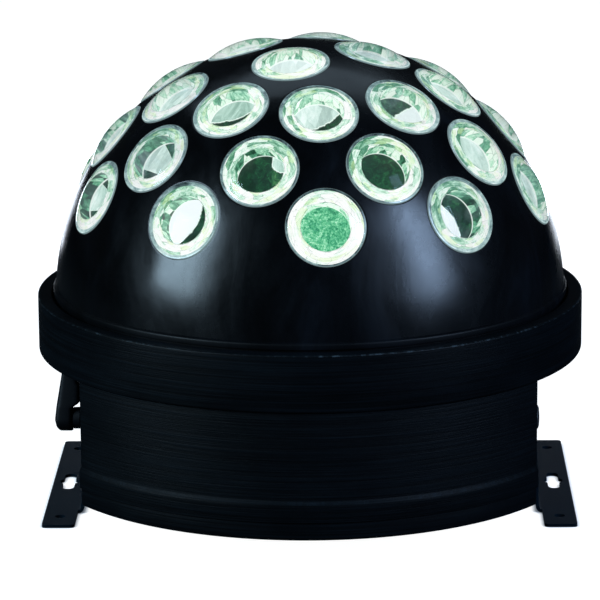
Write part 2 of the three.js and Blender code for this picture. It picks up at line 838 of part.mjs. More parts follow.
// Clamp lever: stud, collar, hub and a tapered arm; drawn outwards along X from the tab, arm upwards
function clampLever() {
  const hubStart = collarLength;
  const hubEnd = collarLength + hubLength;
  const stepHeight = (armRootHeight + armReach) / 2;
  const outline = teardrop(hubRadius, armTipRadius, armReach - armTipRadius, roundEndSteps);
  const face = raiseAlongX(outline, 0, hubEnd + overrun);
  const profile = raiseAlongY(
    [
      new THREE.Vector2(hubStart, -hubRadius),
      new THREE.Vector2(hubEnd - hubCrown, -hubRadius),
      new THREE.Vector2(hubEnd - hubCrown / 3, -hubRadius + hubCrown),
      new THREE.Vector2(hubEnd, 0),
      new THREE.Vector2(hubEnd - hubCrown / 3, hubRadius),
      new THREE.Vector2(armTipOuter, armReach - armTipRadius),
      new THREE.Vector2(armTipOuter - hubCrown / 2, armReach),
      new THREE.Vector2(armTipInner + hubCrown / 3, armReach),
      new THREE.Vector2(armTipInner, armReach - armTipRadius),
      new THREE.Vector2((armTipInner + armRootInner) / 2, stepHeight),
      new THREE.Vector2((armTipInner + armRootInner) / 2 - armStep, stepHeight),
      new THREE.Vector2(armRootInner, armRootHeight),
      new THREE.Vector2(hubStart, armRootHeight - hubCrown),
    ],
    -hubRadius - overrun,
    hubRadius + overrun,
  );
  const collar = cylinderAlongX(collarRadius, seat, hubStart + seat);
  const stud = cylinderAlongX(studRadius, -studReach, hubStart);
  return join(common(face, profile), collar, stud);
}

// Pivot bolt: low domed head and stud
function pivotBolt() {
  const geometry = revolve(
    [
      [0, -studReach],
      [studRadius, -studReach],
      [studRadius, seat],
      [boltHeadRadius, seat],
      [boltHeadRadius, boltHeadHeight / 2],
      [boltHeadRadius * crownShare, boltHeadHeight],
      [0, boltHeadHeight],
    ],
    smallSteps,
  );
  geometry.rotateY(Math.PI / 2);
  return geometry;
}

// Chassis plate: carries the motor below and the light engine above
function chassisPlate() {
  const vents = Array.from({ length: plateVents }, (_, i) => {
    const angle = (i / plateVents) * 2 * Math.PI;
    const hole = cylinder(plateVentRadius, plateBottom - overrun, plateTop + overrun);
    return moved(hole, plateVentCircle * Math.cos(angle), plateVentCircle * Math.sin(angle), 0);
  });
  const bore = cylinder(plateBore, plateBottom - overrun, plateTop + overrun);
  return cut(cylinder(plateRadius, plateBottom, plateTop, plateSteps), bore, ...vents);
}

// Geared motor: gearbox on a round motor can, with a bored boss for the shaft
function gearMotor() {
  const top = plateBottom - seat;
  const gearboxBottom = top - gearboxHeight;
  const body = revolve(
    [
      [0, gearboxBottom - motorHeight],
      [motorRadius, gearboxBottom - motorHeight],
      [motorRadius, gearboxBottom],
      [gearboxRadius, gearboxBottom],
      [gearboxRadius, top],
      [motorBossRadius, top],
      [motorBossRadius, top + motorBossHeight],
      [0, top + motorBossHeight],
    ],
    2 * smallSteps,
  );
  const bore = cylinder(shaftRadius + seat, shaftBottom - seat, top + motorBossHeight + overrun);
  return cut(body, bore);
}

const shaftBottom = plateBottom - seat + motorBossHeight - shaftGrip;
const shaftTop = spiderBottom + spiderHubHeight;

function driveShaft() {
  return cylinder(shaftRadius, shaftBottom, shaftTop);
}

// Spider: hub on the shaft and arms whose turned-down ends hold the foot of the dome
function domeSpider() {
  const wallFlats = acrossFlats(domeRadius - domeWall, domeSteps) - seat;
  const reach = Math.sqrt(wallFlats ** 2 - (spiderArmWidth / 2) ** 2);
  const section = [
    new THREE.Vector2(0, 0),
    new THREE.Vector2(reach - spiderSheet, 0),
    new THREE.Vector2(reach - spiderSheet, -spiderTab),
    new THREE.Vector2(reach, -spiderTab),
    new THREE.Vector2(reach, spiderSheet),
    new THREE.Vector2(0, spiderSheet),
  ];
  const arms = Array.from({ length: spiderArms }, (_, i) => {
    const arm = raiseAlongY(section, -spiderArmWidth / 2, spiderArmWidth / 2);
    arm.translate(0, 0, spiderBottom);
    arm.rotateZ((i / spiderArms) * 2 * Math.PI);
    return arm;
  });
  const hub = cylinder(spiderHubRadius, spiderBottom, spiderBottom + spiderHubHeight);
  const bore = cylinder(shaftRadius + seat, spiderBottom - overrun, spiderBottom + spiderHubHeight + overrun);
  return cut(join(hub, ...arms), bore);
}

// Heat sink: radial fins round a core, open in the middle for the shaft
function ledHeatsink() {
  const pitch = (2 * Math.PI) / sinkFins;
  const half = (pitch * sinkFinShare) / 2;
  const outline = Array.from({ length: sinkFins }, (_, i) => i * pitch).flatMap((angle) => [
    ...arc(sinkCore, angle - half, angle - half, 1).slice(1),
    ...arc(sinkRadius, angle - half, angle + half, 1),
    ...arc(sinkCore, angle + half, angle + half, 1).slice(1),
  ]);
  return raise(outline, sinkBottom, sinkTop, [circle(sinkBore, smallSteps)]);
}

// Light board: round board on the heat sink with a ring of clear emitter domes
function ledBoard() {
  const bottom = sinkTop + seat;
  const top = bottom + boardThickness;
  const emitter = revolve(
    [
      [0, bottom + boardThickness / 2],
      [emitterRadius, bottom + boardThickness / 2],
      [emitterRadius, top + emitterBase],
      [emitterRadius * Math.SQRT1_2, top + emitterBase + emitterRadius * Math.SQRT1_2],
      [0, top + emitterBase + emitterRadius],
    ],
    tinySteps,
  );
  const emitters = Array.from({ length: emitterCount }, (_, i) => {
    const angle = ((i + 0.5) / emitterCount) * 2 * Math.PI;
    return moved(emitter.clone(), emitterCircle * Math.cos(angle), emitterCircle * Math.sin(angle), 0);
  });
  const board = raise(circle(ledBoardRadius, 2 * smallSteps), bottom, top, [circle(sinkBore, smallSteps)]);
  return join(board, ...emitters);
}

// Power supply: folded case with a flange at each long side
function powerSupply() {
  const half = supplyWidth / 2;
  const top = supplyHeight;
  const section = [
    new THREE.Vector2(-half - supplyFlange, 0),
    new THREE.Vector2(half + supplyFlange, 0),
    new THREE.Vector2(half + supplyFlange, supplyFlangeThickness),
    new THREE.Vector2(half, supplyFlangeThickness),
    new THREE.Vector2(half, top - supplyBevel),
    new THREE.Vector2(half - supplyBevel, top),
    new THREE.Vector2(-half + supplyBevel, top),
    new THREE.Vector2(-half, top - supplyBevel),
    new THREE.Vector2(-half, supplyFlangeThickness),
    new THREE.Vector2(-half - supplyFlange, supplyFlangeThickness),
  ];
  const body = raiseAlongX(section, -supplyLength / 2, supplyLength / 2);
  const slots = [-1, 1].flatMap((end) =>
    [-1, 1].map((side) =>
      moved(
        cylinder(supplySlotWidth / 2, -overrun, overrun, tinySteps),
        end * (supplyLength / 2 - supplyFlange),
        side * (half + supplyFlange / 2),
        0,
      ),
    ),
  );
  return moved(cut(body, ...slots), 0, -supplyOffset, panBottom + panThickness + seat);
}

function panelScrewPlaces() {
  const x = panelLength / 2 - screwInset;
  const z = panelHeight / 2 - screwInset;
  return [-1, 1].flatMap((side) => [-1, 1].map((level) => [side * x, panelMiddle + level * z]));
}

function buttonPlaces() {
  return Array.from({ length: buttonCount }, (_, i) => [
    displayPosition + (i - (buttonCount - 1) / 2) * buttonSpacing,
    panelMiddle - buttonDrop,
  ]);
}

// Rear panel: sheet over the window in the back of the wall, cut for everything that it carries
function rearPanel() {
  const sheetMetal = moved(
    raiseAlongY(roundedRectangle(panelLength, panelHeight, panelCorner), panelBack, panelFace),
    0,
    0,
    panelMiddle,
  );
  const sockets = [inPosition, outPosition].map((x) =>
    moved(cylinderAlongY(socketBodyRadius + seat, rearFlat - overrun, rearFlat + overrun), x, 0, panelMiddle),
  );
  const inlet = moved(
    raiseAlongY(
      rectangle(inletBodyWidth + 2 * seat, inletBodyHeight + 2 * seat),
      rearFlat - overrun,
      rearFlat + overrun,
    ),
    inletPosition,
    0,
    panelMiddle,
  );
  const display = moved(
    raiseAlongY(
      rectangle(displayWidth - 2 * displayLip + 2 * seat, displayHeight - 2 * displayLip + 2 * seat),
      rearFlat - overrun,
      rearFlat + overrun,
    ),
    displayPosition,
    0,
    panelMiddle + displayRise,
  );
  const buttons = buttonPlaces().map(([x, z]) =>
    moved(cylinderAlongY(buttonRadius + seat, rearFlat - overrun, rearFlat + overrun), x, 0, z),
  );
  const screws = panelScrewPlaces().map(([x, z]) =>
    moved(cylinderAlongY(screwRadius + seat, rearFlat - overrun, rearFlat + overrun, tinySteps), x, 0, z),
  );
  return cut(sheetMetal, ...sockets, inlet, display, ...buttons, ...screws);
}

// Flange and body that both signal sockets share
function socketBlank() {
  const flangeBack = panelFace + seat;
  const flange = raiseAlongY(
    roundedRectangle(socketFlangeWidth, socketFlangeHeight, socketCorner),
    flangeBack,
    flangeBack + socketFlangeThickness,
  );
  return join(flange, cylinderAlongY(socketBodyRadius, flangeBack - socketBodyDepth, flangeBack + seat));
}

// Three contacts: one at each side and one below
function contactPlaces() {
  return [
    [-pinCircle, 0],
    [pinCircle, 0],
    [0, -pinCircle],
  ];
}

// Signal input: cup with three pins
function signalInput() {
  const face = panelFace + seat + socketFlangeThickness;
  const cup = cylinderAlongY(socketCupRadius, face - socketCupDepth, face + overrun);
  const pins = contactPlaces().map(([x, z]) =>
    moved(
      cylinderAlongY(pinRadius, face - socketCupDepth - seat, face - socketCupDepth + pinLength, tinySteps),
      x,
      0,
      z,
    ),
  );
  return join(cut(socketBlank(), cup), ...pins);
}

// Signal output: flat insert with three contact holes and a key slot
function signalOutput() {
  const face = panelFace + seat + socketFlangeThickness;
  const groove = cut(
    cylinderAlongY(socketCupRadius, face - socketFlangeThickness, face + overrun),
    cylinderAlongY(socketCupRadius - contactRadius, face - socketBodyDepth, face + 2 * overrun),
  );
  const contacts = contactPlaces().map(([x, z]) =>
    moved(cylinderAlongY(contactRadius, face - contactDepth, face + overrun, tinySteps), x, 0, z),
  );
  const keySlot = box(socketKeyWidth, 2 * socketFlangeThickness, 2 * contactRadius);
  const key = moved(keySlot, 0, face, socketCupRadius);
  return cut(socketBlank(), groove, ...contacts, key);
}

// Mains inlet: plug-shaped cavity with three blades and a drawer slot below it
function powerInlet() {
  const back = panelFace + seat;
  const face = back + inletFlangeThickness;
  const flange = raiseAlongY(roundedRectangle(inletWidth, inletHeight, socketCorner), back, face);
  const body = raiseAlongY(rectangle(inletBodyWidth, inletBodyHeight), back - inletBodyDepth, back + seat);
  const x = plugWidth / 2;
  const z = plugHeight / 2;
  const plug = [
    new THREE.Vector2(-x, -z),
    new THREE.Vector2(x, -z),
    new THREE.Vector2(x, z - plugCorner),
    new THREE.Vector2(x - plugCorner, z),
    new THREE.Vector2(-x + plugCorner, z),
    new THREE.Vector2(-x, z - plugCorner),
  ];
  const cavity = moved(raiseAlongY(plug, face - plugDepth, face + overrun), 0, 0, plugRise);
  const drawer = moved(
    raiseAlongY(
      rectangle(fuseWidth + 2 * seat, fuseHeight + 2 * seat),
      face - fuseDepth - seat,
      face + overrun,
    ),
    0,
    0,
    -fuseDrop,
  );
  const blades = [-1, 0, 1].map((side) => {
    const lift = side === 0 ? bladeRise : 0;
    const blade = box(bladeThickness, bladeLength + seat, bladeWidth);
    const middle = face - plugDepth + (bladeLength - seat) / 2;
    return moved(blade, (side * bladeSpacing) / 2, middle, plugRise + lift - bladeRise / 2);
  });
  return join(cut(join(flange, body), cavity, drawer), ...blades);
}

// Fuse drawer: body in the slot and a face that is pulled
function fuseDrawer() {
  const face = panelFace + seat + inletFlangeThickness;
  const body = raiseAlongY(rectangle(fuseWidth, fuseHeight), face - fuseDepth, face + 2 * seat);
  const front = raiseAlongY(
    roundedRectangle(fuseFaceWidth, fuseFaceHeight, fuseFaceThickness / 2),
    face + seat,
    face + seat + fuseFaceThickness,
  );
  const pull = moved(
    cylinderAlongX(fuseFaceThickness / 2, -fuseWidth / 4, fuseWidth / 4, tinySteps),
    0,
    face + seat + fuseFaceThickness,
    0,
  );
  return cut(join(body, front), pull);
}

// Display window: thin front lip and a block that fills the opening
function displayWindow() {
  const back = panelFace + seat;
  const lip = raiseAlongY(
    roundedRectangle(displayWidth, displayHeight, displayLip),
    back,
    back + displayLip / 2,
  );
  const block = raiseAlongY(
    rectangle(displayWidth - 2 * displayLip, displayHeight - 2 * displayLip),
    back - displayDepth,
    back + displayLip / 4,
  );
  return join(lip, block);
}

// Menu button: cap through the panel, flange behind it and a stem towards the board
function menuButton() {
  const flangeFront = panelBack - seat;
  const flangeBack = flangeFront - buttonFlangeThickness;
  return revolve(
    [
      [0, -panelFace - buttonProud],
      [buttonRadius * crownShare, -panelFace - buttonProud],
      [buttonRadius, -panelFace - buttonProud * crownShare],
      [buttonRadius, -flangeFront],
      [buttonFlange, -flangeFront],
      [buttonFlange, -flangeBack],
      [buttonRadius / 2, -flangeBack],
      [buttonRadius / 2, -flangeBack + buttonStem],
      [0, -flangeBack + buttonStem],
    ],
    tinySteps,
  ).rotateX(Math.PI / 2);
}

// Control board: board on four posts behind the panel, with a switch under each button
function controlBoard() {
  const x = boardLength / 2 - postInset;
  const z = boardHeight / 2 - postInset;
  const board = raiseAlongY(rectangle(boardLength, boardHeight), boardFace - boardThickness, boardFace);
  const posts = [-1, 1].flatMap((side) =>
    [-1, 1].map((level) =>
      moved(
        cylinderAlongY(postRadius, boardFace - seat, panelBack - seat, tinySteps),
        side * x,
        0,
        level * z,
      ),
    ),
  );
  const switches = buttonPlaces().map(([place]) =>
    moved(
      box(switchSize, switchHeight + seat, switchSize),
      place - displayPosition,
      boardFace + (switchHeight - seat) / 2,
      -buttonDrop,
    ),
  );
  return moved(join(board, ...posts, ...switches), displayPosition, 0, panelMiddle);
}

place('base_pan', basePan(), 'housingBlack');
place('side_wall', sideWall(), 'housingBlack');
place('top_ring', topRing(), 'housingBlack');
place('rear_panel', rearPanel(), 'blackSteel');

place('chassis_plate', chassisPlate(), 'plainSteel');
place('gear_motor', gearMotor(), 'plainSteel');
place('led_heatsink', ledHeatsink(), 'aluminium');
place('led_board', ledBoard(), 'warmWhite');
place('power_supply', powerSupply(), 'aluminium');
place('control_board', controlBoard(), 'boardGreen');

place('right_bracket', bracket(), 'footBlack');
place('left_bracket', turnedRound(bracket()), 'footBlack');
place('right_pivot_bolt', pivotBolt(), 'blackSteel').position.set(tabOuter, 0, pivotZ);
const lever = place('clamp_lever', clampLever(), 'leverBlack');
lever.position.set(-tabOuter, 0, pivotZ);
lever.rotation.z = Math.PI;

place('dmx_in', signalInput(), 'blackSteel').position.set(inPosition, 0, panelMiddle);
place('dmx_out', signalOutput(), 'blackSteel').position.set(outPosition, 0, panelMiddle);
place('power_inlet', powerInlet(), 'leverBlack').position.set(inletPosition, 0, panelMiddle);
place('fuse_drawer', fuseDrawer(), 'leverBlack').position.set(inletPosition, 0, panelMiddle - fuseDrop);
const display = place('display_window', displayWindow(), 'smoked');
display.position.set(displayPosition, 0, panelMiddle + displayRise);
buttonPlaces().forEach(([x, z], i) => {
  place(`menu_button_${i + 1}`, menuButton(), 'buttonGrey').position.set(x, 0, z);
});

const dome = new THREE.Group();
dome.position.z = domeCentre;
light.add(dome);
place('dome_shell', domeShell(), 'domeBlack', dome);
lensDirections().forEach((direction, i) => {
  const mesh = place(`lens_${String(i + 1).padStart(2, '0')}`, lens(), 'clearLens', dome);
  mesh.quaternion.copy(turnTo(direction));
  mesh.position.copy(direction).multiplyScalar(pocketFloor + seat);
});
place('dome_spider', domeSpider(), 'plainSteel');
place('drive_shaft', driveShaft(), 'plainSteel');

export default light;
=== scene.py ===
import math
import bmesh
import bpy
import numpy as np
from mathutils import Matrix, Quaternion, Vector
from mathutils.geometry import delaunay_2d_cdt


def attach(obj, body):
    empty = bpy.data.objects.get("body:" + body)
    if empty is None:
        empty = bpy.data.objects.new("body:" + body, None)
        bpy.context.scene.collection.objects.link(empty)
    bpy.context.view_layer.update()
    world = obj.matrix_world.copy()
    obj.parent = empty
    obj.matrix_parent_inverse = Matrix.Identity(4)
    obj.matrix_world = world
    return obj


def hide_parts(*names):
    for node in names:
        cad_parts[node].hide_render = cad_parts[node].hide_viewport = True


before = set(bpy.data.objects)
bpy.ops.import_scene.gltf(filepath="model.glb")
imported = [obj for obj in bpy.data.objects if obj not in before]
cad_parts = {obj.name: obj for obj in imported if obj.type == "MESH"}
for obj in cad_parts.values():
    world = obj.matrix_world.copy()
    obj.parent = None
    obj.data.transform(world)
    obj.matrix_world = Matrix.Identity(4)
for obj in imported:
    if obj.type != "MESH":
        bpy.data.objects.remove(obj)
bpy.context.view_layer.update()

# Half-ball effect light. Shapes are worked out in millimetres and turned to metres when a mesh is made.
millimetre = 0.001
doubles = 2e-6  # points closer than this, in metres, are one
sharpAngle = 32.0  # degrees, from which an edge between faces is drawn sharp
bevels = {"segments": 3, "angle": 38.0}
heights = {  # from the floor up
    "panBottom": 16.0, "bandTop": 26.7, "skirtTop": 40.5, "ringBottom": 93.8, "ringTop": 128.7,
    "domeCentre": 125.6, "pivot": 44.0, "panelMiddle": 67.15,
}

print("stage: camera and light")
shot = {"azimuth": 0.8, "elevation": 13.69, "distance": 2.2, "target": (0, 0, 0.126), "lens": 210.6,
        "shiftX": -0.0166, "shiftY": -0.0148, "roll": -0.35, "sensor": 36, "far": 50}


def newObject(name, data):
    made = bpy.data.objects.new(name, data)
    bpy.context.scene.collection.objects.link(made)
    return made


def aim(holder, azimuth, elevation, distance, target, roll=0.0):
    # stands at a distance from the target and looks at it; azimuth 0 is the front, -Y
    a, e = math.radians(azimuth), math.radians(elevation)
    back = Vector((math.sin(a) * math.cos(e), -math.cos(a) * math.cos(e), math.sin(e)))
    holder.location = Vector(target) + back * distance
    holder.rotation_mode = "QUATERNION"
    tilt = Quaternion((0, 0, 1), math.radians(roll))
    holder.rotation_quaternion = (-back).to_track_quat("-Z", "Y") @ tilt


def addCamera(look):
    camera = newObject("camera", bpy.data.cameras.new("camera"))
    aim(camera, look["azimuth"], look["elevation"], look["distance"], look["target"], look["roll"])
    camera.data.lens = look["lens"]
    camera.data.sensor_width = look["sensor"]
    camera.data.shift_x = look["shiftX"]
    camera.data.shift_y = look["shiftY"]
    camera.data.clip_end = look["far"]
    bpy.context.scene.camera = camera


addCamera(shot)


def put(tree, kind, values=None, **settings):
    # one node; a value that is a socket is linked, anything else is set on the socket
    made = tree.nodes.new(kind)
    for key, value in settings.items():
        setattr(made, key, value)
    for key, value in (values or {}).items():
        if isinstance(value, bpy.types.NodeSocket):
            tree.links.new(value, made.inputs[key])
        else:
            made.inputs[key].default_value = value
    return made


def emptyTree(owner):
    # the node tree of a material or a world, without the nodes it comes with
    owner.use_nodes = True
    owner.node_tree.nodes.clear()
    return owner.node_tree


def newMaterial(name):
    material = bpy.data.materials.new(name)
    return material, emptyTree(material)


def ramp(tree, value, stops):
    # colours along a value; stops are (position, colour)
    made = put(tree, "ShaderNodeValToRGB", {"Fac": value})
    band = made.color_ramp
    while len(band.elements) < len(stops):
        band.elements.new(0.5)
    for element, (position, colour) in zip(band.elements, stops):
        element.position = position
        element.color = (*colour, 1)
    return made.outputs["Color"]


def sums(tree, operation, *terms):
    return put(tree, "ShaderNodeMath", dict(enumerate(terms)), operation=operation).outputs[0]


def times(tree, first, second):
    return sums(tree, "MULTIPLY", first, second)


def weighted(tree, *pairs, start=0.0):
    # each value times its share, all added up from start
    total = start
    for value, share in pairs:
        total = sums(tree, "MULTIPLY_ADD", value, share, total)
    return total


def blend(tree, share, first, second):
    # colour between first and second
    return put(tree, "ShaderNodeMix", {0: share, 6: first, 7: second}, data_type="RGBA").outputs[2]


def span(tree, value, low, high, toLow=0.0, toHigh=1.0):
    # the stretch from low to high carried to the one from toLow to toHigh, held at its ends
    return put(tree, "ShaderNodeMapRange", dict(enumerate((value, low, high, toLow, toHigh)))).outputs[0]


def noise(tree, place, scale, detail=4.0, roughness=0.55, distortion=0.0):
    made = put(tree, "ShaderNodeTexNoise", {"Vector": place, "Scale": scale, "Detail": detail,
                                            "Roughness": roughness, "Distortion": distortion})
    return made.outputs["Fac"]


def objectNoise(tree, scale, stretch=(1, 1, 1), **grain):
    # noise on Object coordinates, in cells per metre, stretched along an axis by a smaller share
    place = put(tree, "ShaderNodeTexCoord").outputs["Object"]
    mapped = put(tree, "ShaderNodeMapping", {"Vector": place, "Scale": stretch}).outputs[0]
    return noise(tree, mapped, scale, **grain)


stageLook = {
    "floorSize": 14.0, "floorGrey": (0.45, 0.45, 0.45, 1), "floorGlow": 0.985,
    "bounceGrey": (0.03, 0.03, 0.03, 1),
    "shadeReach": 0.004, "shadeSamples": 8,  # contact shade under the feet and its colours
    "shade": [(0.45, (0.10, 0.12, 0.15)), (0.75, (0.62, 0.66, 0.70)), (0.90, (1, 1, 1))],
    "skyCamera": 1.0, "skyOther": 0.016, "skyTint": (0.72, 0.84, 1, 1),
}


def addFloor(look):
    # a pale floor that glows a little for the camera and is dark for everything else
    size = look["floorSize"]
    corners = [(-size, -size, 0), (size, -size, 0), (size, size, 0), (-size, size, 0)]
    mesh = bpy.data.meshes.new("floor")
    mesh.from_pydata(corners, [], [(0, 1, 2, 3)])
    floor = newObject("floor", mesh)
    material, tree = newMaterial("paleFloor")
    seen = put(tree, "ShaderNodeLightPath").outputs["Is Camera Ray"]
    near = put(tree, "ShaderNodeAmbientOcclusion", {"Distance": look["shadeReach"]},
               samples=look["shadeSamples"])
    shade = ramp(tree, near.outputs["AO"], look["shade"])
    pale = put(tree, "ShaderNodeAddShader", {
        0: put(tree, "ShaderNodeBsdfDiffuse", {"Color": look["floorGrey"]}).outputs[0],
        1: put(tree, "ShaderNodeEmission", {"Color": shade, "Strength": look["floorGlow"]}).outputs[0],
    })
    dim = put(tree, "ShaderNodeBsdfDiffuse", {"Color": look["bounceGrey"]})
    mixed = put(tree, "ShaderNodeMixShader", {0: seen, 1: dim.outputs[0], 2: pale.outputs[0]})
    put(tree, "ShaderNodeOutputMaterial", {"Surface": mixed.outputs[0]})
    mesh.materials.append(material)


def addSky(look):
    # white for the camera, dim for everything else, so that black gloss stays black
    world = bpy.data.worlds.new("studio")
    bpy.context.scene.world = world
    tree = emptyTree(world)
    seen = put(tree, "ShaderNodeLightPath").outputs["Is Camera Ray"]
    white = put(tree, "ShaderNodeBackground", {"Color": (1, 1, 1, 1), "Strength": look["skyCamera"]})
    dim = put(tree, "ShaderNodeBackground", {"Color": look["skyTint"], "Strength": look["skyOther"]})
    mixed = put(tree, "ShaderNodeMixShader", {0: seen, 1: dim.outputs[0], 2: white.outputs[0]})
    put(tree, "ShaderNodeOutputWorld", {"Surface": mixed.outputs[0]})


# softboxes: direction from the dome's middle (azimuth, elevation), distance, width, height, watts, colour
softboxes = {
    "leftWindow": (-59, 23, 1.7, 0.66, 0.95, 33, (0.58, 0.82, 1.0)),
    "rightWindow": (55, 26, 1.7, 0.42, 1.15, 28, (0.48, 0.68, 1.0)),
    "topWindow": (185, 60, 1.6, 1.7, 0.6, 3.4, (0.62, 0.82, 1.0)),
    "backWindow": (180, -5, 0.8, 0.9, 0.1, 1.3, (0.8, 0.88, 1.0)),
}


def addSoftboxes(boxes):
    for name, (azimuth, elevation, distance, width, height, watts, colour) in boxes.items():
        light = bpy.data.lights.new(name, "AREA")
        light.shape = "RECTANGLE"
        light.size, light.size_y = width, height
        light.energy = watts
        light.color = colour
        holder = newObject(name, light)
        aim(holder, azimuth, elevation, distance, (0, 0, heights["domeCentre"] * millimetre))
        # the lenses' glow is painted light in their own finish
        holder.visible_transmission = False  # the lenses show their own light, not a lamp through them


addFloor(stageLook)
addSky(stageLook)
addSoftboxes(softboxes)
bpy.context.scene.view_settings.view_transform = "Standard"
bpy.context.scene.view_settings.look = "None"

print("stage: shape helpers")


def gridFaces(rows, columns, wrapRows=False, wrapColumns=False):
    # quads of a grid of points, row by row; a wrapped direction joins its last line to its first
    i = np.arange(rows if wrapRows else rows - 1)[:, None]
    j = np.arange(columns if wrapColumns else columns - 1)[None, :]
    nextI, nextJ = (i + 1) % rows, (j + 1) % columns
    quads = [i * columns + j, i * columns + nextJ, nextI * columns + nextJ, nextI * columns + j]
    return np.stack(quads, -1).reshape(-1, 4)


def mergeDoubles(mesh):
    # joins points that lie together and turns the faces outwards
    work = bmesh.new()
    work.from_mesh(mesh)
    bmesh.ops.remove_doubles(work, verts=work.verts, dist=doubles)
    bmesh.ops.recalc_face_normals(work, faces=work.faces)
    work.to_mesh(mesh)
    work.free()


def makePiece(name, shape, finish, body, nodes=(), bevel=0.0, sharp=sharpAngle, shades=None,
              attributes=None):
    # shape holds an (n, 3) array of points in millimetres and the faces' corner numbers; with several
    # finishes, shades says which of them each face has
    points = np.asarray(shape[0], float) * millimetre
    mesh = bpy.data.meshes.new(name)
    mesh.from_pydata(points.tolist(), [], [list(map(int, face)) for face in shape[1]])
    for key, values in (attributes or {}).items():
        made = mesh.attributes.new(key, "FLOAT_VECTOR", "POINT")
        made.data.foreach_set("vector", np.asarray(values, np.float32).ravel())
    for entry in (finish,) if isinstance(finish, str) else finish:
        mesh.materials.append(finishes[entry])
    if shades is not None:
        mesh.polygons.foreach_set("material_index", np.asarray(shades, np.int32))
    mergeDoubles(mesh)
    mesh.polygons.foreach_set("use_smooth", np.ones(len(mesh.polygons), bool))
    mesh.set_sharp_from_angle(angle=math.radians(sharp))
    piece = newObject(name, mesh)
    if bevel:
        edge = piece.modifiers.new("edge", "BEVEL")
        edge.width, edge.segments, edge.limit_method = bevel * millimetre, bevels["segments"], "ANGLE"
        edge.angle_limit = math.radians(bevels["angle"])
        edge.harden_normals = True
    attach(piece, body)
    if nodes:
        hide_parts(*nodes)
    return piece


def joinShapes(*shapes):
    # several (points, faces) into one
    allPoints, allFaces, start = [], [], 0
    for points, faces in shapes:
        allPoints.append(np.asarray(points, float))
        allFaces += [[int(c) + start for c in face] for face in faces]
        start += len(points)
    return np.concatenate(allPoints), allFaces


def roundCorners(points, reach, steps=4, closed=False):
    # each corner becomes a quadratic curve that starts and ends at reach from it
    points = np.asarray(points, float)
    reach = np.broadcast_to(np.asarray(reach, float), (len(points),)).copy()
    before, after = np.roll(points, 1, 0), np.roll(points, -1, 0)
    if not closed:
        reach[0] = reach[-1] = 0
        before[0], after[-1] = points[0], points[-1]
    toBefore, toAfter = before - points, after - points
    lengths = [np.maximum(np.linalg.norm(v, axis=1), 1e-9) for v in (toBefore, toAfter)]
    start = points + toBefore * (np.minimum(reach, lengths[0] * 0.49) / lengths[0])[:, None]
    end = points + toAfter * (np.minimum(reach, lengths[1] * 0.49) / lengths[1])[:, None]
    t = np.linspace(0, 1, steps + 1)[None, :, None]
    curve = (1 - t) ** 2 * start[:, None] + 2 * t * (1 - t) * points[:, None] + t**2 * end[:, None]
    return curve.reshape(-1, points.shape[1])


def revolve(profile, turns=96, closed=False):
    # radius and height of a profile point carried round Z: x = r cos a, y = r sin a, z = h
    profile = np.asarray(profile, float)
    a = np.arange(turns) / turns * 2 * np.pi
    grid = profile[:, :1] * np.cos(a), profile[:, :1] * np.sin(a), np.repeat(profile[:, 1:], turns, 1)
    faces = gridFaces(len(profile), turns, wrapRows=closed, wrapColumns=True)
    return np.stack(grid, -1).reshape(-1, 3), faces


def arcPoints(radius, start, end, steps, centre=(0, 0)):
    a = np.linspace(start, end, steps + 1)
    return np.stack([centre[0] + radius * np.cos(a), centre[1] + radius * np.sin(a)], -1)


def circlePoints(radius, count=32, x=0.0, y=0.0):
    a = np.arange(count) / count * 2 * np.pi
    return np.stack([x + radius * np.cos(a), y + radius * np.sin(a)], -1)


def roundedBox(width, height, corner, steps=6):
    # outline of a rectangle with round corners
    x, y, q = width / 2 - corner, height / 2 - corner, math.pi / 2
    centres = [(x, y), (-x, y), (-x, -y), (x, -y)]
    return np.concatenate([arcPoints(corner, k * q, (k + 1) * q, steps, at) for k, at in enumerate(centres)])


def insideOf(points, outline):
    # even-odd rule: a point is inside when its level line crosses the outline an odd number of times
    x, y = points[:, 0][:, None], points[:, 1][:, None]
    first, second = outline[None], np.roll(outline, -1, 0)[None]
    crosses = (first[..., 1] > y) != (second[..., 1] > y)
    rise = second[..., 1] - first[..., 1]
    run = (y - first[..., 1]) * (second[..., 0] - first[..., 0])
    at = first[..., 0] + run / np.where(rise == 0, 1, rise)
    return (crosses & (x < at)).sum(1) % 2 == 1


def triangles(points, edges, nearness):
    # flat triangles between points that keep the given edges
    made = delaunay_2d_cdt([Vector(p) for p in points.tolist()], edges, [], 0, nearness, False)
    return np.array([tuple(v) for v in made[0]]), np.array([f for f in made[2] if len(f) == 3])


def flatSheet(outline, holes=(), extra=()):
    # triangles that fill an outline and leave its holes open; extra are points inside it
    loops = [np.asarray(loop, float) for loop in (outline, *holes)]
    edges, start = [], 0
    for loop in loops:
        n = np.arange(len(loop))
        edges += np.stack([start + n, start + (n + 1) % len(loop)], -1).tolist()
        start += len(loop)
    flat, faces = triangles(np.concatenate([*loops, *extra]), edges, 1e-7)
    middle = flat[faces].mean(1)
    keep = insideOf(middle, loops[0])
    for hole in loops[1:]:
        keep &= ~insideOf(middle, hole)
    return flat, faces[keep]


def atLevel(sheet, z, flip=False):
    # a flat sheet at a height, its faces turned over where it looks down
    flat, faces = sheet
    return np.column_stack([flat, np.full(len(flat), z)]), faces[:, ::-1] if flip else faces


def loft(outlines, levels, closed=False):
    # outlines with as many points each, stacked at their heights
    outlines = np.asarray(outlines, float)
    z = np.broadcast_to(np.asarray(levels, float)[:, None, None], (*outlines.shape[:2], 1))
    points = np.concatenate([outlines, z], -1).reshape(-1, 3)
    return points, gridFaces(len(outlines), outlines.shape[1], wrapRows=closed, wrapColumns=True)


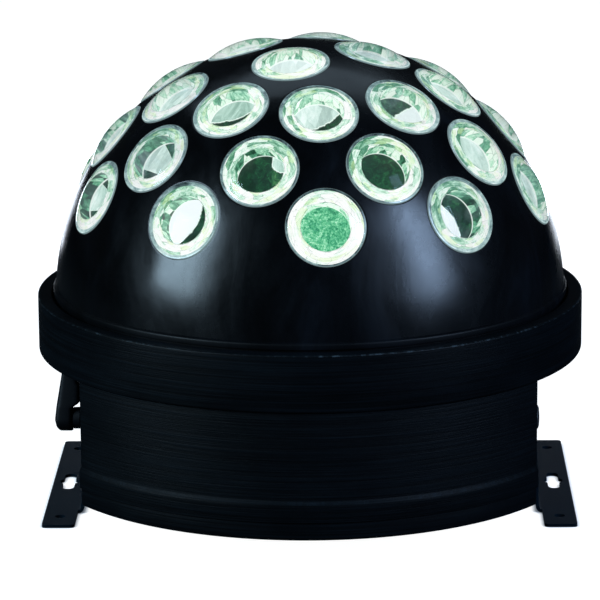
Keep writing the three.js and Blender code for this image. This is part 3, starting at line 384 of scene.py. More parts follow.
def plate(outline, low, high, holes=(), extra=()):
    # flat sheet with its walls: the closed body between two heights
    sheet = flatSheet(outline, holes, extra)
    shapes = [atLevel(sheet, high), atLevel(sheet, low, flip=True)]
    for k, loop in enumerate([outline, *holes]):
        points, quads = loft([loop, loop], (low, high))
        shapes.append((points, quads if k == 0 else quads[:, ::-1]))
    return joinShapes(*shapes)


def placed(shape, at=(0, 0, 0), turn=(1, 1, 1)):
    # a shape moved to a place; two directions of turn at -1 turn it over
    return shape[0] * turn + at, shape[1]


def standUp(shape, x, y, z):
    # a shape drawn flat is stood up: its second direction turns to Z, its height to Y
    return shape[0][:, [0, 2, 1]] + (x, y, z), shape[1]


def facing(shape, x, y, z):
    # a shape drawn about Z is stood up so that its head looks along +Y
    return shape[0][:, [0, 2, 1]] * (-1, 1, 1) + (x, y, z), shape[1]


def alongX(shape, x, z, side=1):
    # a shape drawn about Z is laid along X, outwards on the given side
    points = shape[0]
    return np.stack([side * (x + points[:, 2]), side * points[:, 1], z + points[:, 0]], -1), shape[1]


print("stage: finishes")


def principled(material, values, bump=None, strength=0.2, distance=0.0005):
    # closes a material: its shader, the relief on it and the output
    tree = material.node_tree
    made = put(tree, "ShaderNodeBsdfPrincipled", values)
    if bump is not None:
        relief = put(tree, "ShaderNodeBump", {"Strength": strength, "Distance": distance, "Height": bump})
        tree.links.new(relief.outputs[0], made.inputs["Normal"])
    put(tree, "ShaderNodeOutputMaterial", {"Surface": made.outputs[0]})
    return material


domeLook = {"black": [(0.38, (0.0005, 0.0008, 0.0010)), (0.55, (0.0008, 0.0013, 0.0021)),
                      (0.70, (0.0024, 0.0040, 0.0070))], "gloss": (0.14, 0.33), "specular": 0.36}
beadLook = {**domeLook, "gloss": (0.34, 0.53), "specular": 0.12}


def domeGloss(name, look):
    # moulded gloss black: hazy patches and smears left by wiping, slow waves in the surface
    material, tree = newMaterial(name)
    haze = objectNoise(tree, 7.0, (1.0, 1.0, 0.55), detail=6.0, roughness=0.62, distortion=0.8)
    smear = objectNoise(tree, 26.0, (1.0, 1.0, 0.35), detail=5.0, roughness=0.6, distortion=1.4)
    fine = objectNoise(tree, 320.0, detail=3.0)
    wave = weighted(tree, (smear, 0.12), (fine, 0.02), start=objectNoise(tree, 14.0, detail=2.0))
    both = weighted(tree, (haze, 0.62), (smear, 0.38))
    colour = ramp(tree, both, look["black"])
    rough = weighted(tree, (fine, 0.05), start=span(tree, both, 0.36, 0.66, *look["gloss"]))
    values = {"Base Color": colour, "Roughness": rough, "Specular IOR Level": look["specular"]}
    return principled(material, values, wave, 0.22, 0.004)


# satin black of the housing; along an edge it is paler with a painted highlight: the level band and the least
# radius in metres, the highlight's colour, and how even the highlight is between short dashes (0) and a full
# line (1)
blackLook = {"base": (0.0006, 0.0012, 0.0018), "streak": 4.5, "specular": 0.07, "soft": 0.0003,
             "softOut": 0.0006}
ringEdgeHighlight = {"band": (0.1277, 0.1287), "radius": 0.1660, "pale": (0.030, 0.042, 0.050, 1), "even": 0.04}
skirtEdgeHighlight = {"band": (0.0378, 0.0402), "radius": 0.0, "pale": (0.0045, 0.0080, 0.0115, 1), "even": 0.12}


def paintedEdgeHighlight(tree, look, edge):
    # how much painted highlight a point gets: inside the band and beyond the radius, in dashes, and on some
    # stretches only
    place = put(tree, "ShaderNodeTexCoord").outputs["Object"]
    z = put(tree, "ShaderNodeSeparateXYZ", {0: place}).outputs[2]
    flat = put(tree, "ShaderNodeVectorMath", {0: place, 1: (1, 1, 0)}, operation="MULTIPLY").outputs[0]
    out = put(tree, "ShaderNodeVectorMath", {0: flat}, operation="LENGTH").outputs["Value"]
    (low, high), radius = edge["band"], edge["radius"]
    above = span(tree, z, low, low + look["soft"])
    below = span(tree, z, high - look["soft"], high, 1.0, 0.0)
    beyond = span(tree, out, radius, radius + look["softOut"])
    dashes = objectNoise(tree, 190.0, (1, 1, 0.2), detail=6.0, roughness=0.75)
    stretches = objectNoise(tree, 7.0, detail=2.0)
    share = times(tree, times(tree, above, below), beyond)
    share = times(tree, share, span(tree, dashes, 0.50, 0.60, edge["even"], 1.0))
    return times(tree, share, span(tree, stretches, 0.42, 0.58, edge["even"], 1.0))


def linedBlack(name, roughness, lines, edge=None):
    # satin black with fine level lines round it, as left by a turned mould
    material, tree = newMaterial(name)
    level = objectNoise(tree, 700.0, (0.012, 0.012, 1), detail=6.0, roughness=0.7)
    cloud = objectNoise(tree, 16.0, (1, 1, 2.2), detail=5.0, roughness=0.6)
    dark = (*blackLook["base"], 1)
    light = (*(c * blackLook["streak"] for c in blackLook["base"]), 1)
    share = times(tree, span(tree, level, 0.42, 0.72), span(tree, cloud, 0.3, 0.7, 0.2, 1.0))
    colour = blend(tree, share, dark, light)
    if edge:
        # painted highlight along the edge, in broken dashes
        colour = blend(tree, paintedEdgeHighlight(tree, blackLook, edge), colour, edge["pale"])
    satin = span(tree, cloud, 0.3, 0.7, roughness - 0.14, roughness)
    rough = weighted(tree, (level, 0.22), start=satin)
    values = {"Base Color": colour, "Roughness": rough, "Specular IOR Level": blackLook["specular"]}
    return principled(material, values, level, lines, 0.0006)


def powderCoat(name, base, roughness, specular, grain):
    # sprayed powder: fine even grain with a slight cloudiness
    material, tree = newMaterial(name)
    pebble = objectNoise(tree, grain, detail=2.0)
    cloud = objectNoise(tree, 25.0, detail=4.0)
    colour = blend(tree, cloud, (*base, 1), (*(c * 1.9 for c in base), 1))
    rough = weighted(tree, (pebble, 0.16), start=roughness - 0.08)
    values = {"Base Color": colour, "Roughness": rough, "Specular IOR Level": specular}
    return principled(material, values, pebble, 0.25, 0.0002)


def bareMetal(name, base, roughness, stretch, scale):
    # rolled or ground metal: streaks along one direction
    material, tree = newMaterial(name)
    streak = objectNoise(tree, scale, stretch, detail=5.0, roughness=0.7)
    colour = blend(tree, streak, (*(c * 0.72 for c in base), 1), (*base, 1))
    rough = weighted(tree, (streak, 0.2), start=roughness - 0.1)
    values = {"Base Color": colour, "Metallic": 1.0, "Roughness": rough}
    return principled(material, values, streak, 0.12, 0.0002)


def lensClear(name):
    # polished optical plastic, slightly dulled in patches; it mirrors little, as the photographed lenses do
    material, tree = newMaterial(name)
    rough = span(tree, objectNoise(tree, 90.0, detail=3.0), 0.45, 0.8, 0.0, 0.05)
    return principled(material, {
        "Base Color": (0.97, 1.0, 0.985, 1), "Roughness": rough, "IOR": 1.49, "Specular IOR Level": 0.06,
        "Specular Tint": (0.12, 0.12, 0.12, 1), "Transmission Weight": 1.0})


# colours that the lens units glow with: painted light standing in for the LEDs' light seen through each lens,
# with painted highlights, reflections and shade in it
lensPaintedLightLook = {
    "window": 0.555, "mouth": 0.597, "flange": 0.94, "gap": (0.986, 0.992),  # shares of the rim's radius
    "line": (0.03, 0.13, 0.08, 1), "mint": [
        (0.36, (0.006, 0.15, 0.075)), (0.45, (0.04, 0.36, 0.17)), (0.53, (0.15, 0.60, 0.31)),
        (0.61, (0.40, 0.86, 0.56)), (0.69, (0.80, 1.0, 0.86))],
    "deep": [
        (0.34, (0.0002, 0.004, 0.002)), (0.46, (0.001, 0.020, 0.009)), (0.54, (0.007, 0.070, 0.026)),
        (0.62, (0.04, 0.17, 0.055)), (0.70, (0.25, 0.48, 0.20))],
    # veil: colours of the painted reflection mark where it is not white
    "veil": [
        (0.33, (0.10, 0.28, 0.20)), (0.44, (0.30, 0.52, 0.42)), (0.54, (0.50, 0.74, 0.64)),
        (0.66, (0.85, 1.0, 0.94))],
    "tube": [
        (0.20, (0.004, 0.026, 0.013)), (0.36, (0.030, 0.15, 0.078)), (0.48, (0.13, 0.42, 0.25)),
        (0.60, (0.42, 0.76, 0.54)), (0.74, (0.86, 1.0, 0.88))],
    "ring": [
        (0.32, (0.06, 0.24, 0.13)), (0.39, (0.28, 0.58, 0.40)), (0.46, (0.62, 0.88, 0.73)),
        (0.53, (0.90, 1.0, 0.94)), (0.60, (1.0, 1.0, 1.0))],
    # haze: painted blue-grey sheen over the lenses that face away
    "haze": [
        (0.36, (0.015, 0.035, 0.045)), (0.45, (0.13, 0.22, 0.26)), (0.55, (0.36, 0.51, 0.57)),
        (0.68, (0.70, 0.84, 0.90))],
    "frost": [
        (0.36, (0.006, 0.014, 0.016)), (0.50, (0.07, 0.12, 0.13)), (0.59, (0.21, 0.33, 0.34)),
        (0.68, (0.36, 0.52, 0.52)), (0.78, (0.58, 0.75, 0.75)), (0.90, (0.9, 1.0, 0.98))],
}


def lensPoint(tree, key):
    # an attribute of the lens units, whole
    return put(tree, "ShaderNodeAttribute", attribute_name=key).outputs["Vector"]


def lensParts(tree, key):
    # the three numbers of an attribute
    return put(tree, "ShaderNodeSeparateXYZ", {0: lensPoint(tree, key)}).outputs


def cells(tree, place, scale, **kind):
    # cells of a Voronoi pattern, for cut facets
    values = {"Vector": place, "Scale": scale, "Randomness": 0.9}
    return put(tree, "ShaderNodeTexVoronoi", values, **kind).outputs


def facets(tree, place, scale):
    # one tone for each cell
    return put(tree, "ShaderNodeSeparateColor", {0: cells(tree, place, scale)["Color"]}).outputs[0]


def seams(tree, place, scale, width):
    # lines where cells meet
    return span(tree, cells(tree, place, scale, feature="DISTANCE_TO_EDGE")["Distance"], 0.0, width, 1.0, 0.0)


def flangePaintedGlow(tree, look):
    # painted glow of the cloudy clear flange over the dark seat, paler towards its lower side as painted
    # light
    cloud = noise(tree, lensPoint(tree, "lensPlace"), 2.0, 7.0, 0.7, 0.8)
    up, pale = lensParts(tree, "lensPlace")[1], lensParts(tree, "lensTone")[1]
    return ramp(tree, weighted(tree, (up, -0.07), (pale, 0.15), start=cloud), look["frost"])


def windowColour(tree, look):
    # window, painted as glow: speckled mint where it is painted lit, deep emerald where it is painted dark,
    # with a pale painted reflection mark over it
    place = lensPoint(tree, "lensPlace")
    across, up, _ = lensParts(tree, "lensPlace")
    edge, tone, white = lensParts(tree, "lensMark")
    lit = weighted(tree, (noise(tree, place, 13.0, 12.0, 0.85, 1.6), 0.50), (facets(tree, place, 30.0), 0.12),
                   (noise(tree, place, 3.2, 9.0, 0.75, 1.8), 0.62), start=-0.12)
    grass = span(tree, weighted(tree, (across, 0.8), (up, -1.0)), 0.05, 0.55)
    grass = times(tree, grass, span(tree, white, 0.10, 0.16, 1.0, 0.0))
    dark = weighted(tree, (noise(tree, place, 5.0, 10.0, 0.8, 1.6), 0.85), (facets(tree, place, 3.0), 0.10),
                    (grass, 0.09))
    window = blend(tree, tone, ramp(tree, dark, look["deep"]), ramp(tree, lit, look["mint"]))
    tall = put(tree, "ShaderNodeMapping", {"Vector": place, "Scale": (1.0, 0.42, 1.0)}).outputs[0]
    veil = weighted(tree, (facets(tree, tall, 4.2), 0.22), (noise(tree, tall, 3.6, 7.0, 0.7, 0.9), 0.78))
    paintedReflection = blend(tree, white, ramp(tree, veil, look["veil"]), (0.90, 0.96, 1.0, 1))
    # the painted reflection mark, with a bright painted highlight just before its ragged edge
    ragged = weighted(tree, (edge, 1.0), (noise(tree, place, 4.0, 6.0, 0.7, 1.0), 0.24), start=-0.12)
    window = blend(tree, span(tree, ragged, -0.05, -0.015), window, (0.86, 1.0, 0.93, 1))
    return blend(tree, span(tree, ragged, 0.0, 0.03), window, paintedReflection)


def aroundLens(tree, turn, along):
    # coordinates that follow the lens round: the direction from its middle times turn, moved by its seed
    ringX, ringY, _ = lensParts(tree, "lensRing")
    seed = lensParts(tree, "lensPlace")[2]
    values = {0: weighted(tree, (ringX, turn), start=seed), 1: times(tree, ringY, turn), 2: along}
    return put(tree, "ShaderNodeCombineXYZ", values).outputs[0]


def tubeColour(tree, look):
    # tube wall, painted as glow: upright facets in greens, with a painted highlight line where it meets the
    # window
    depth = span(tree, lensParts(tree, "lensRing")[2], look["window"], look["mouth"], 1.0, 0.0)
    columns = aroundLens(tree, 1.5, times(tree, depth, 0.55))
    grain = noise(tree, columns, 3.4, 9.0, 0.75, 0.8)
    shade = weighted(tree, (facets(tree, columns, 2.6), 0.51), (grain, 0.99),
                     (lensParts(tree, "lensTone")[0], 0.52), start=-0.51)
    tube = ramp(tree, shade, look["tube"])
    tube = blend(tree, times(tree, seams(tree, columns, 2.6, 0.05), 0.45), tube, (0.02, 0.10, 0.06, 1))
    return blend(tree, span(tree, depth, 0.90, 0.94, 0.0, 0.9), tube, (0.92, 1.0, 0.96, 1))


def ringColour(tree, look, around, streak):
    # ring, painted as glow: white with mint patches and thin hoops, greener towards the upper left as painted
    # shade, then the frosted flange
    ringX, ringY, radius = lensParts(tree, "lensRing")
    flangeTone = lensParts(tree, "lensTone")[1]
    pale = weighted(tree, (facets(tree, around, 1.6), 0.24), (streak, 0.76), (ringX, 0.05), (ringY, -0.06),
                    (lensParts(tree, "lensMark")[1], 0.12))
    ring = ramp(tree, pale, look["ring"])
    hoops = sums(tree, "SINE", weighted(tree, (radius, 88.0), (streak, 9.0)))
    hoops = times(tree, span(tree, hoops, 0.84, 1.0, 0.0, 0.6), span(tree, streak, 0.40, 0.54, 1.0, 0.1))
    ring = blend(tree, hoops, ring, (0.10, 0.30, 0.20, 1))
    patches = noise(tree, lensPoint(tree, "lensPlace"), 1.3, 5.0, 0.6, 0.8)
    warm = weighted(tree, (facets(tree, around, 2.1), 0.5), (patches, 0.5))
    ring = blend(tree, span(tree, warm, 0.58, 0.70, 0.0, 0.42), ring, (0.70, 0.95, 0.42, 1))
    ticks = times(tree, seams(tree, around, 1.6, 0.025), span(tree, streak, 0.42, 0.58, 0.7, 0.1))
    ring = blend(tree, ticks, ring, look["line"])
    fromEdge = weighted(tree, (radius, 1.0), (flangeTone, 0.075), start=-look["flange"])
    return blend(tree, span(tree, fromEdge, -0.008, 0.008), ring, flangePaintedGlow(tree, look))


def lensPaintedGlow(name, look):
    # what is seen through a lens, painted as glow in place of the LEDs' light: a lit ring, then a tube with a
    # window at its bottom. lensPlace holds across, up (shares of the rim's radius) and a seed; lensMark the
    # distance over the edge of the bright mark, a painted reflection, how lit the window is painted and how
    # white the mark is; lensRing the direction from the middle and the radius; lensTone how pale the tube's
    # wall and the flange are painted and how much painted blue-grey sheen lies over the whole lens
    material, tree = newMaterial(name)
    place, radius = lensPoint(tree, "lensPlace"), lensParts(tree, "lensRing")[2]
    around = aroundLens(tree, 1.3, times(tree, radius, 5.0))
    streak = noise(tree, around, 2.2, 10.0, 0.78, 0.7)
    window, mouth = look["window"], look["mouth"]
    colour = blend(tree, span(tree, radius, window - 0.001, window + 0.001),
                   windowColour(tree, look), tubeColour(tree, look))
    colour = blend(tree, span(tree, radius, mouth - 0.001, mouth + 0.001),
                   colour, ringColour(tree, look, around, streak))
    # thin dark line round the tube's mouth, broken where the light is strong
    lip = span(tree, radius, mouth + 0.010, mouth + 0.020, 1.0, 0.0)
    lip = times(tree, span(tree, radius, mouth, mouth + 0.006), lip)
    lip = times(tree, lip, span(tree, streak, 0.40, 0.56, 0.8, 0.05))
    colour = blend(tree, lip, colour, look["line"])
    # painted blue-grey sheen, with painted darker shade in patches, over the lenses that face away
    haze = ramp(tree, noise(tree, place, 2.6, 8.0, 0.7, 0.8), look["haze"])
    patches = span(tree, noise(tree, place, 1.7, 4.0, 0.6, 0.6), 0.40, 0.58, 0.35, 0.95)
    colour = blend(tree, times(tree, lensParts(tree, "lensTone")[2], patches), colour, haze)
    return principled(material, {"Base Color": (0.02, 0.03, 0.028, 1), "Roughness": 0.4,
                                 "Emission Color": colour, "Emission Strength": 1.0})


def lensRimPaintedGlow(name, look):
    # flat rim round a lens, painted as glow: the same frosted flange, with a grey painted highlight line
    # along its outer edge
    material, tree = newMaterial(name)
    edge = span(tree, lensParts(tree, "lensRing")[2], *look["gap"])
    colour = blend(tree, edge, flangePaintedGlow(tree, look), (0.16, 0.23, 0.24, 1))
    return principled(material, {"Base Color": (0.01, 0.012, 0.013, 1), "Roughness": 0.16,
                                 "Emission Color": colour, "Emission Strength": 1.0})


powders = {  # name, base colour, roughness, specular, grain in cells per metre
    "foot": ("footPowder", (0.0026, 0.0058, 0.0092), 0.50, 0.005, 1800.0),
    "panel": ("panelPowder", (0.012, 0.014, 0.016), 0.55, 0.4, 1400.0),
    "lever": ("leverPlastic", (0.0015, 0.002, 0.003), 0.5, 0.2, 900.0),
    "blackSteel": ("blackPlate", (0.012, 0.013, 0.015), 0.34, 0.6, 2400.0),
    "inlet": ("inletPlastic", (0.006, 0.006, 0.007), 0.48, 0.35, 1200.0),
    "button": ("buttonPlastic", (0.030, 0.032, 0.036), 0.5, 0.4, 1500.0),
    "board": ("boardLacquer", (0.010, 0.075, 0.030), 0.35, 0.5, 300.0),
    "whiteBoard": ("lightBoardLacquer", (0.70, 0.72, 0.70), 0.4, 0.5, 300.0),
    "smoked": ("displaySmoke", (0.010, 0.002, 0.002), 0.08, 0.5, 40.0),
}
metals = {  # name, colour, roughness, stretch of the streaks, grain in cells per metre
    "zinc": ("zincPlate", (0.50, 0.52, 0.54), 0.34, (1, 0.2, 1), 160.0),
    "steel": ("groundSteel", (0.58, 0.58, 0.60), 0.25, (1, 1, 0.1), 600.0),
    "alloy": ("sinkAlloy", (0.66, 0.67, 0.70), 0.38, (1, 1, 0.08), 500.0),
}
finishes = {
    "dome": domeGloss("domeGloss", domeLook),
    "bead": domeGloss("domeBead", beadLook),
    "ring": linedBlack("ringSatin", 0.42, 0.4, ringEdgeHighlight),
    "wall": linedBlack("wallSatin", 0.46, 0.6, skirtEdgeHighlight),
    "pan": linedBlack("panSatin", 0.44, 0.35),
    **{key: powderCoat(*values) for key, values in powders.items()},
    **{key: bareMetal(*values) for key, values in metals.items()},
    "clear": lensClear("lensClear"),
    "cup": lensPaintedGlow("lensPaintedGlow", lensPaintedLightLook),
    "rim": lensRimPaintedGlow("lensRimPaintedGlow", lensPaintedLightLook),
}
carried = {  # CAD nodes that no piece replaces, with their finish
    "chassis_plate": "zinc", "gear_motor": "zinc", "led_heatsink": "alloy", "led_board": "whiteBoard",
    "power_supply": "alloy", "control_board": "board", "dome_spider": "zinc", "drive_shaft": "steel",
}
for node, finish in carried.items():
    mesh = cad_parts[node].data
    mesh.materials.clear()
    mesh.materials.append(finishes[finish])

print("stage: dome")
dome = {"radius": 158.8, "wall": 3.0, "skirt": 13.6, "beadRadius": 160.3, "beadLow": 3.7, "beadHigh": 8.1,
        "beadRound": 0.9, "edges": [0, 0.8, 0.6, 0, 0.4, 0.4, 0], "pocket": 24.1,
        "pocketFloor": 155.46, "seat": 21.4, "lip": 0.28, "around": 72, "foot": 180,
        "spacing": 2.3,  # degrees between the points of the open skin
        "nearRing": 0.75, "farRing": 2.2,  # rings of points beyond each opening's edge
        "nearGap": 0.8, "farGap": 2.3, "fillGap": 3.6}  # how far rings and open skin stay from an opening
lensRows = [(27.5, 10, 4.7), (40.3, 10, -13.3), (56.0, 10, 4.7), (75.0, 4, -14.7)]  # degrees up, lenses, turn


def lensAxes(rows):
    # unit direction of each lens: azimuth counted from the front towards +X
    places = [(math.radians(latitude), math.radians(turn + 360 * i / count))
              for latitude, count, turn in rows for i in range(count)]
    return np.array([(math.cos(up) * math.sin(turn), -math.cos(up) * math.cos(turn), math.sin(up))
                     for up, turn in places])


def lensFrames(axes):
    # across, up and out for each lens; up runs towards the top of the dome
    across = np.cross((0, 0, 1), axes)
    across /= np.linalg.norm(across, axis=1, keepdims=True)
    return np.stack([across, np.cross(axes, across), axes], 1)


axes = lensAxes(lensRows)
frames = lensFrames(axes)


def ringsRound(radius, height, count):
    # circle of the given radius at a height along every lens axis
    flat = np.column_stack([circlePoints(radius, count), np.full(count, height)])
    return np.einsum("pk,lkx->lpx", flat, frames)


def onSphere(radius, sphere):
    # height at which a sphere's section has the given radius
    return math.sqrt(sphere**2 - radius**2)


def skinPoints(d):
    # points of the open skin: level circles on the unit sphere, every other one turned by half a step
    circles = []
    lowest = math.degrees(math.asin(d["beadHigh"] / d["radius"])) + d["spacing"] * 0.6
    for latitude in np.arange(lowest, 89.5, d["spacing"]):
        level, high = math.cos(math.radians(latitude)), math.sin(math.radians(latitude))
        count = max(6, round(360 * level / d["spacing"]))
        b = (np.arange(count) + 0.5 * (round(latitude / d["spacing"]) % 2)) / count * 2 * np.pi
        circles.append(np.stack([level * np.cos(b), level * np.sin(b), np.full(count, high)], -1))
    fill = np.concatenate(circles + [np.array([[0, 0, 1.0]])])
    return fill[(fill @ axes.T).max(1) < math.cos(math.asin((d["pocket"] + d["fillGap"]) / d["radius"]))]


def domeSkin(d):
    # skin: points of the sphere laid flat from its lowest pole (u = x / (1 + z)), joined by the even
    # triangles of that plane and lifted back; openings stay exact circles. Under the skin, each opening is a
    # profile carried round the lens axis, and the foot a profile carried round Z
    r, pocket, edge = d["radius"], d["pocket"], d["pocket"] + d["lip"]
    reaches = [edge, pocket + d["nearRing"], pocket + d["farRing"]]
    rings = [ringsRound(reach, onSphere(reach, r), d["around"]).reshape(-1, 3) for reach in reaches]
    footRadius = onSphere(d["beadHigh"], r)
    foot = np.column_stack([circlePoints(footRadius, d["foot"]), np.full(d["foot"], d["beadHigh"])])
    points = np.concatenate([*rings, foot, skinPoints(d) * r])
    # the wider rings may cross a neighbour's: those points go
    edgeCount = len(rings[0])
    least = np.full(len(points), pocket + d["farGap"])
    least[edgeCount:2 * edgeCount] = pocket + d["nearGap"]
    least[:edgeCount] = 0
    second = np.arccos(np.clip(np.sort(points / r @ axes.T, 1)[:, -2], -1, 1))
    points = points[(second > np.arcsin(least / r)) & (points[:, 2] >= d["beadHigh"] - 1e-6)]
    n = np.arange(edgeCount).reshape(len(axes), d["around"])
    edges = np.stack([n, np.roll(n, -1, 1)], -1).reshape(-1, 2).tolist()
    back, faces = triangles(points[:, :2] / (r + points[:, 2:3]), edges, 1e-9)
    square = (back**2).sum(1)
    outer = np.stack([2 * back[:, 0], 2 * back[:, 1], 1 - square], -1) / (1 + square)[:, None] * r
    middle = outer[faces].mean(1)
    middle /= np.linalg.norm(middle, axis=1, keepdims=True)
    away = np.degrees(np.arccos(np.clip(middle @ axes.T, -1, 1)))
    openings = (away < math.degrees(math.asin(edge / r)) - 0.004).any(1)
    shapes = [(outer, faces[~openings])]

    # pocket: lip, wall, ledge and the hole behind it
    inner = r - d["wall"]
    top = onSphere(pocket, r)
    lip = [(edge, onSphere(edge, r)), (pocket + d["lip"] * 0.3, top - d["lip"] * 0.25),
           (pocket, top - d["lip"]), (pocket, d["pocketFloor"]),
           (d["seat"], d["pocketFloor"]), (d["seat"], onSphere(d["seat"], inner))]
    pocketRings = np.stack([ringsRound(radius, height, d["around"]) for radius, height in lip], 1)
    quads = gridFaces(len(lip), d["around"], wrapColumns=True)
    shapes += [(rings.reshape(-1, 3), quads) for rings in pocketRings]
    bead, low, skirt = d["beadRadius"], d["beadLow"], -d["skirt"]
    profile = roundCorners([
        (footRadius, d["beadHigh"]), (bead, d["beadHigh"] - d["beadRound"]), (bead, low), (r, low),
        (r, skirt), (inner, skirt), (inner, 0)], d["edges"], 3)
    return placed(joinShapes(*shapes, revolve(profile, d["foot"])), (0, 0, heights["domeCentre"]))


skin = domeSkin(dome)
below = skin[0][:, 2] < heights["domeCentre"] + dome["beadHigh"] + 0.02
makePiece("domeSkin", skin, ("dome", "bead"), "dome", ["dome_shell"],
          shades=[all(below[list(face)]) for face in skin[1]])

print("stage: lenses")
lensSize = {"rim": 23.8, "flange": 1.9, "cap": 22.85, "apex": 7.2, "mouth": 14.2, "window": 13.2,
            "depth": 16.0, "seat": 155.76, "ledge": 0.04, "gap": 0.3, "turns": 64, "capSteps": 18,
            "sharp": 30, "seedStep": 1.37}
# per lens, painted light: how lit the window is painted (0 deep green, 1 lit mint), whiteness of the mark (a
# painted reflection), the mark's direction in degrees (0 is across, 90 is up), how far its edge lies from the
# middle, the edge's bow, how pale the tube and the flange are painted
lensLooks = {
    1: (1.0, 0.0, 90, 9.0, 0.0, 1.0, 0.0), 2: (0.0, 1.0, 200, -0.20, -0.30, 0.35, 0.9),
    3: (0.1, 0.4, -6, 0.26, -0.25, 0.5, 1.0), 9: (0.0, 0.2, 183, -0.20, -4.5, 0.20, 1.0),
    10: (0.0, 1.0, 160, -0.05, -0.30, 0.45, 0.8), 11: (0.0, 0.10, 52, 0.60, -1.6, 0.55, 0.3),
    12: (0.0, 1.0, -62, 9.0, 0.15, 0.60, 0.3), 13: (0.0, 0.3, 12, 0.05, -0.25, 0.85, 1.0),
    19: (0.0, 0.4, -172, 0.22, -0.2, 0.4, 1.0), 20: (0.0, 0.35, 163, -0.45, -4.0, 0.28, 0.9),
    21: (0.0, 0.35, 112, -0.02, -0.30, 0.75, 0.7), 22: (0.0, 0.8, -72, -0.12, -0.1, 0.95, 1.0),
    23: (0.0, 0.3, 4, 0.18, -0.2, 0.85, 1.0), 28: (0.1, 0.3, 178, 0.10, -0.2, 0.7, 1.0),
    29: (0.0, 0.3, 166, 0.14, -0.2, 0.8, 1.0), 30: (0.0, 0.15, 125, 0.20, -0.30, 0.88, 1.0),
    31: (0.0, 0.6, 104, 0.06, -0.2, 0.92, 1.0), 32: (0.0, 0.5, 20, 0.22, -0.2, 0.85, 1.0),
    34: (0.0, 0.5, -158, 0.26, -0.2, 0.85, 1.0),
}
# share of painted blue-grey sheen and shade over the lenses that face away
lensPaintedSheen = {2: 0.2, 3: 0.45, 9: 0.2, 13: 0.15, 14: 0.5, 18: 0.4, 19: 0.4, 20: 0.3, 22: 0.2, 23: 0.25, 24: 0.6,
            28: 0.5, 29: 0.4, 32: 0.5, 33: 0.65, 34: 0.3}


def lensShape(s):
    # closed body as a profile carried round the lens axis: cap (height of a sphere's cap), flat rim, ledge,
    # tube and window; the cap is clear, the rim painted with glow, and the rest glows with painted light
    # behind the cap
    rise, steps = s["apex"] - s["flange"], s["capSteps"]
    curve = (s["cap"]**2 + rise**2) / (2 * rise)
    cap = np.linspace(0, s["cap"], steps)
    front = np.column_stack([cap, s["apex"] - curve + np.sqrt(curve**2 - cap**2)])
    face, back = s["flange"] - 0.12, s["rim"] - s["gap"]
    rim = [(s["cap"] + 0.25, face), (s["rim"] - 0.5, face), (s["rim"] - 0.12, s["flange"] - 0.25),
           (s["rim"], s["flange"] - 0.6), (s["rim"], s["gap"]), (back, s["ledge"])]
    ledge = np.linspace((back, s["ledge"]), (s["mouth"], s["ledge"]), 8)[1:]
    wall = np.linspace((s["mouth"], s["ledge"]), (s["window"], -s["depth"]), 9)[1:]
    bottom = np.linspace((s["window"], -s["depth"]), (0, -s["depth"]), 14)[1:]
    profile = np.concatenate([front, rim, ledge, wall, bottom])
    parts = np.r_[np.zeros(steps - 1), np.full(len(rim) + 1, 2), np.ones(len(profile) - steps - len(rim) - 1)]
    return revolve(profile, s["turns"]), np.repeat(parts, s["turns"])


def usualLook(number):
    # the lenses that the photo doesn't show vary a little
    fifth, fourth = number % 5, number % 4
    return 0.0, 0.3, 70 + 9 * fifth, 0.1 + 0.08 * fourth, -0.2, 0.6 + 0.07 * fifth, 0.85


def addLens(number, s, shape, shades):
    # the lens body on its axis; p and q run along and across the mark's direction, in shares of the window
    look = lensLooks.get(number, usualLook(number))
    tone, white, turn, shift, bow, wallTone, flangeTone = look
    across, up = shape[0][:, 0] / s["rim"], shape[0][:, 1] / s["rim"]
    radius = np.hypot(across, up)
    safe = np.maximum(radius, 1e-6)
    c, n = math.cos(math.radians(turn)), math.sin(math.radians(turn))
    windowShare = s["window"] / s["rim"]
    p, q = (across * c + up * n) / windowShare, (-across * n + up * c) / windowShare

    def columns(*values):
        return np.column_stack([np.broadcast_to(value, len(radius)) for value in values])

    attributes = {
        "lensPlace": columns(across, up, number * s["seedStep"]),
        "lensMark": columns(p + bow * q**2 - shift, tone, white),
        "lensRing": columns(across / safe, up / safe, radius),
        "lensTone": columns(wallTone, flangeTone, lensPaintedSheen.get(number, 0.0)),
    }
    turned = frames[number - 1]
    unit = shape[0] @ turned + turned[2] * s["seat"] + (0, 0, heights["domeCentre"]), shape[1]
    makePiece(f"lensUnit{number:02d}", unit, ("clear", "cup", "rim"), "dome", [f"lens_{number:02d}"],
              sharp=s["sharp"], shades=shades, attributes=attributes)


shape, shades = lensShape(lensSize)
for number in range(1, len(axes) + 1):
    addLens(number, lensSize, shape, shades)

print("stage: collar ring")
collar = {"radius": 170.0, "wall": 3.0, "web": 2.5, "bore": 130.0, "lip": 161.3, "lipThick": 2.4,
          "edges": [0.5, 1.3, 1.3, 0.7, 0.4, 0.5, 0.5, 0.5]}


def collarShape(c):
    # C-shaped profile carried round Z, its corners drawn as short curves
    low, high = heights["ringBottom"], heights["ringTop"]
    floor, ceiling, inside = low + c["web"], high - c["lipThick"], c["radius"] - c["wall"]
    profile = [(c["bore"], low), (c["radius"], low), (c["radius"], high), (c["lip"], high),
               (c["lip"], ceiling), (inside, ceiling), (inside, floor), (c["bore"], floor)]
    return revolve(roundCorners(profile, c["edges"], 4, closed=True), 240, closed=True)


makePiece("collarRing", collarShape(collar), "ring", "housing", ["top_ring"])

